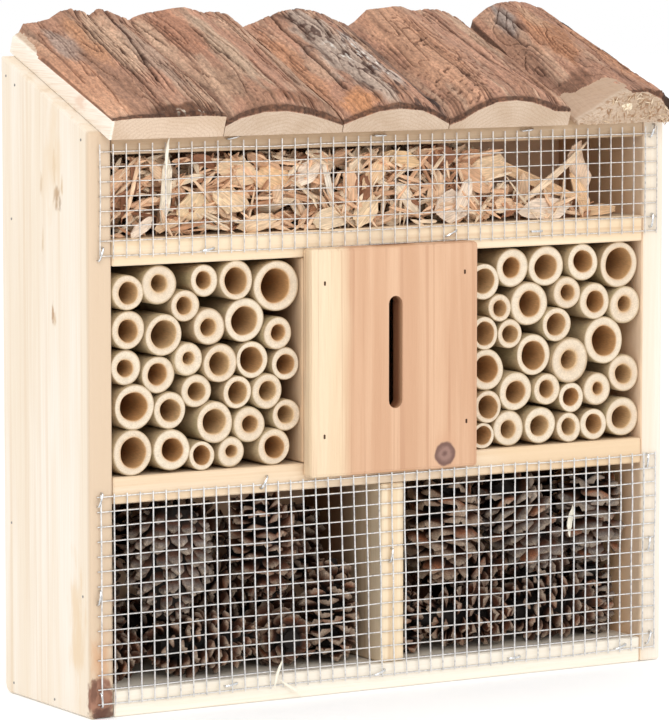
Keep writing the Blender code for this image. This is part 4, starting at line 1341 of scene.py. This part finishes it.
def chip(rng, length, width, thick, shape):
    """A torn piece of wood along x and flat across z, bent and twisted."""
    unit, quads = block(9, 2, 1) if shape == "splinter" else block(8, 7, 1)
    u, v, w = unit.T
    side = v * 2 - 1
    if shape == "splinter":
        narrow = 0.2 + 0.8 * np.clip(np.minimum(u, 1 - u) * rng.uniform(2, 6), 0.0, 1.0)
    else:
        middle = rng.uniform(0.3, 0.7)
        lopsided = np.where(u < middle, u / middle, (1 - u) / (1 - middle))
        narrow = 0.45 + 0.55 * np.clip(lopsided * rng.uniform(1.2, 3.0), 0.0, 1.0)
    spot = stacked(u * length, v * width, 7.0) + rng.uniform(0, 500)
    ragged = noise(spot, (2.0, 2.0, 3.0), 3, 2) - 0.5
    slant = rng.uniform(-0.35, 0.35) if shape == "flat" else 0.0
    x = (u - 0.5) * length + ((u == 0) | (u == 1)) * ragged * 2.6 + slant * side * width
    z = side * width / 2 * narrow + ((v == 0) | (v == 1)) * ragged * 0.16 * width
    curve = rng.uniform(-0.12, 0.12) * length
    cup = rng.uniform(-0.18, 0.18) * width
    body = thick * (0.35 + 0.65 * narrow)
    y = (w - 0.5) * body + curve * (2 * u - 1) ** 2 + cup * side**2 + 0.5 * ragged
    twist = rng.uniform(-0.7, 0.7) * (u - 0.5)
    turned_y = y * np.cos(twist) - z * np.sin(twist)
    turned_z = y * np.sin(twist) + z * np.cos(twist)
    return stacked(x, turned_y, turned_z), quads


def place_chip(heap, rng, centre, size, shape, colour, turn, tilt):
    """Puts a chip at centre, turned in the front plane and tilted out of it."""
    points, quads = chip(rng, *size, shape)
    turned = turning(("Z", rng.gauss(0, tilt)), ("Y", -turn), ("X", rng.gauss(0, tilt * 1.6)))
    fibre = points * MM + rng.uniform(0, 5)
    points = points @ turned.T + centre
    points = points + np.maximum(CHIP_LOW - points.min(axis=0), 0)
    points = points - np.maximum(points.max(axis=0) - CHIP_HIGH, 0)
    grain = noise(points, (2.5, 2.5, 2.5), int(rng.random() * 1000), 2)
    tints = 1.42 * colour * (0.8 + 0.4 * grain)[:, None]
    heap.add(points, quads, tints / max(1.0, tints.max() / BRIGHTEST_CHIP), fibre)


def make_chips():
    """The top compartment's filling: full on the left, thinning out towards the right."""
    rng = random.Random(5)
    heap = Heap()
    for x, depth, z, length, width, turn, shape, colour in SHOWN_CHIPS:
        place_chip(heap, rng, (x, depth, z), (length, width, 1.0), shape, colour, turn, 7)
    for front, back, count, flat_share in CHIP_LAYERS:
        for _ in range(count):
            x = rng.uniform(13, 256)
            sparse = float(smooth(196, 226, x))
            if rng.random() < 0.66 * sparse:
                continue
            z = rng.uniform(205, 238.5 - 27 * sparse)
            if rng.random() < flat_share:
                size = (rng.uniform(7, 17), rng.uniform(4, 10), rng.uniform(0.6, 1.4))
                shape = "flat"
            else:
                size = (5 + 21 * rng.random() ** 1.6, rng.uniform(0.8, 2.6), rng.uniform(0.5, 1.2))
                shape = "splinter"
            turn = rng.gauss(0, 38) if rng.random() < 0.75 else rng.uniform(-90, 90)
            colour = rng.choices(CHIP_COLOURS, CHIP_SHARES)[0] * rng.uniform(0.85, 1.1)
            place_chip(heap, rng, (x, rng.uniform(front, back), z), size, shape, colour, turn, 16)
    heap.make("chip_heap", tinted("chip_wood", 0.75, (9.0, 0.6, 0.6), 0.26, 0.25, True),
              slot="wood_chip", replaces=["wood_chips"])


def make_slivers():
    """Loose slivers caught in the meshes."""
    rng = random.Random(8)
    heap = Heap()
    cream = rgb(255, 248, 230)
    for x, depth, z, length, width, turn in SLIVERS:
        points, quads = chip(rng, length, width, 0.5, "splinter")
        heap.add(points @ turning(("Y", -turn)).T + (x, depth, z), quads, cream)
    heap.make("loose_slivers", tinted("sliver_wood", 0.7, (0.5, 0.5, 0.5), 0.1, 0.1),
              slot="wood_chip")


# ---------------------------------------------------------------- studio


# The floor's reach each way and how far it lies under the feet, in metres
FLOOR_REACH = 6.0
FLOOR_DROP = 0.0002
# Name, place, width and power
LIGHTS = [("key", (-0.9, -1.5, 1.5), 1.2, 12.0), ("fill", (0.5, -2.2, 0.5), 1.5, 6.5)]
LIGHTS_AIM = (0, 0, 0.15)
# The camera's turn and height in degrees, its distance and what it looks at in box millimetres
CAMERA_AZIMUTH = -31.02
CAMERA_ELEVATION = 5.99
CAMERA_DISTANCE = 2027.3
CAMERA_AIM = (144.9, 40.0, 142.6)


def make_studio():
    floor_mesh = bpy.data.meshes.new("floor")
    corners = [(x * FLOOR_REACH, y * FLOOR_REACH, -FLOOR_DROP)
               for x, y in ((-1, -1), (1, -1), (1, 1), (-1, 1))]
    floor_mesh.from_pydata(corners, [], [(0, 1, 2, 3)])
    floor = put("floor", floor_mesh)
    material, _, shader = new_material("floor_white", 0.9)
    shader.inputs["Base Color"].default_value = (0.96, 0.96, 0.96, 1.0)
    shader.inputs["Emission Color"].default_value = (1.0, 1.0, 1.0, 1.0)
    shader.inputs["Emission Strength"].default_value = 0.12
    floor_mesh.materials.append(material)

    world = bpy.data.worlds.new("studio")
    bpy.context.scene.world = world
    world.use_nodes = True
    background = world.node_tree.nodes["Background"]
    background.inputs["Color"].default_value = (1.0, 1.0, 1.0, 1.0)
    background.inputs["Strength"].default_value = 1.0

    for name, place, width, power in LIGHTS:
        data = bpy.data.lights.new(name, "AREA")
        data.shape = "SQUARE"
        data.size = width
        data.energy = power
        light = put(name, data)
        light.location = place
        aim = Vector(LIGHTS_AIM) - Vector(place)
        light.rotation_euler = aim.to_track_quat("-Z", "Y").to_euler()


def make_camera():
    azimuth, elevation = math.radians(CAMERA_AZIMUTH), math.radians(CAMERA_ELEVATION)
    aim = Vector(at(CAMERA_AIM))
    back = Vector((math.sin(azimuth) * math.cos(elevation),
                   -math.cos(azimuth) * math.cos(elevation), math.sin(elevation)))
    data = bpy.data.cameras.new("camera")
    data.lens = 227.06
    data.sensor_width = 36.0
    data.clip_end = 20.0
    camera = put("camera", data)
    camera.location = aim + back * CAMERA_DISTANCE * MM
    camera.rotation_euler = (-back).to_track_quat("-Z", "Y").to_euler()
    bpy.context.scene.camera = camera


bpy.context.scene.view_settings.view_transform = "Standard"
make_camera()
make_studio()
dress_boards()
dress_butterfly_front()
make_roof()
make_wire()
make_nails()
make_bamboo()
make_cones()
make_chips()
make_slivers()
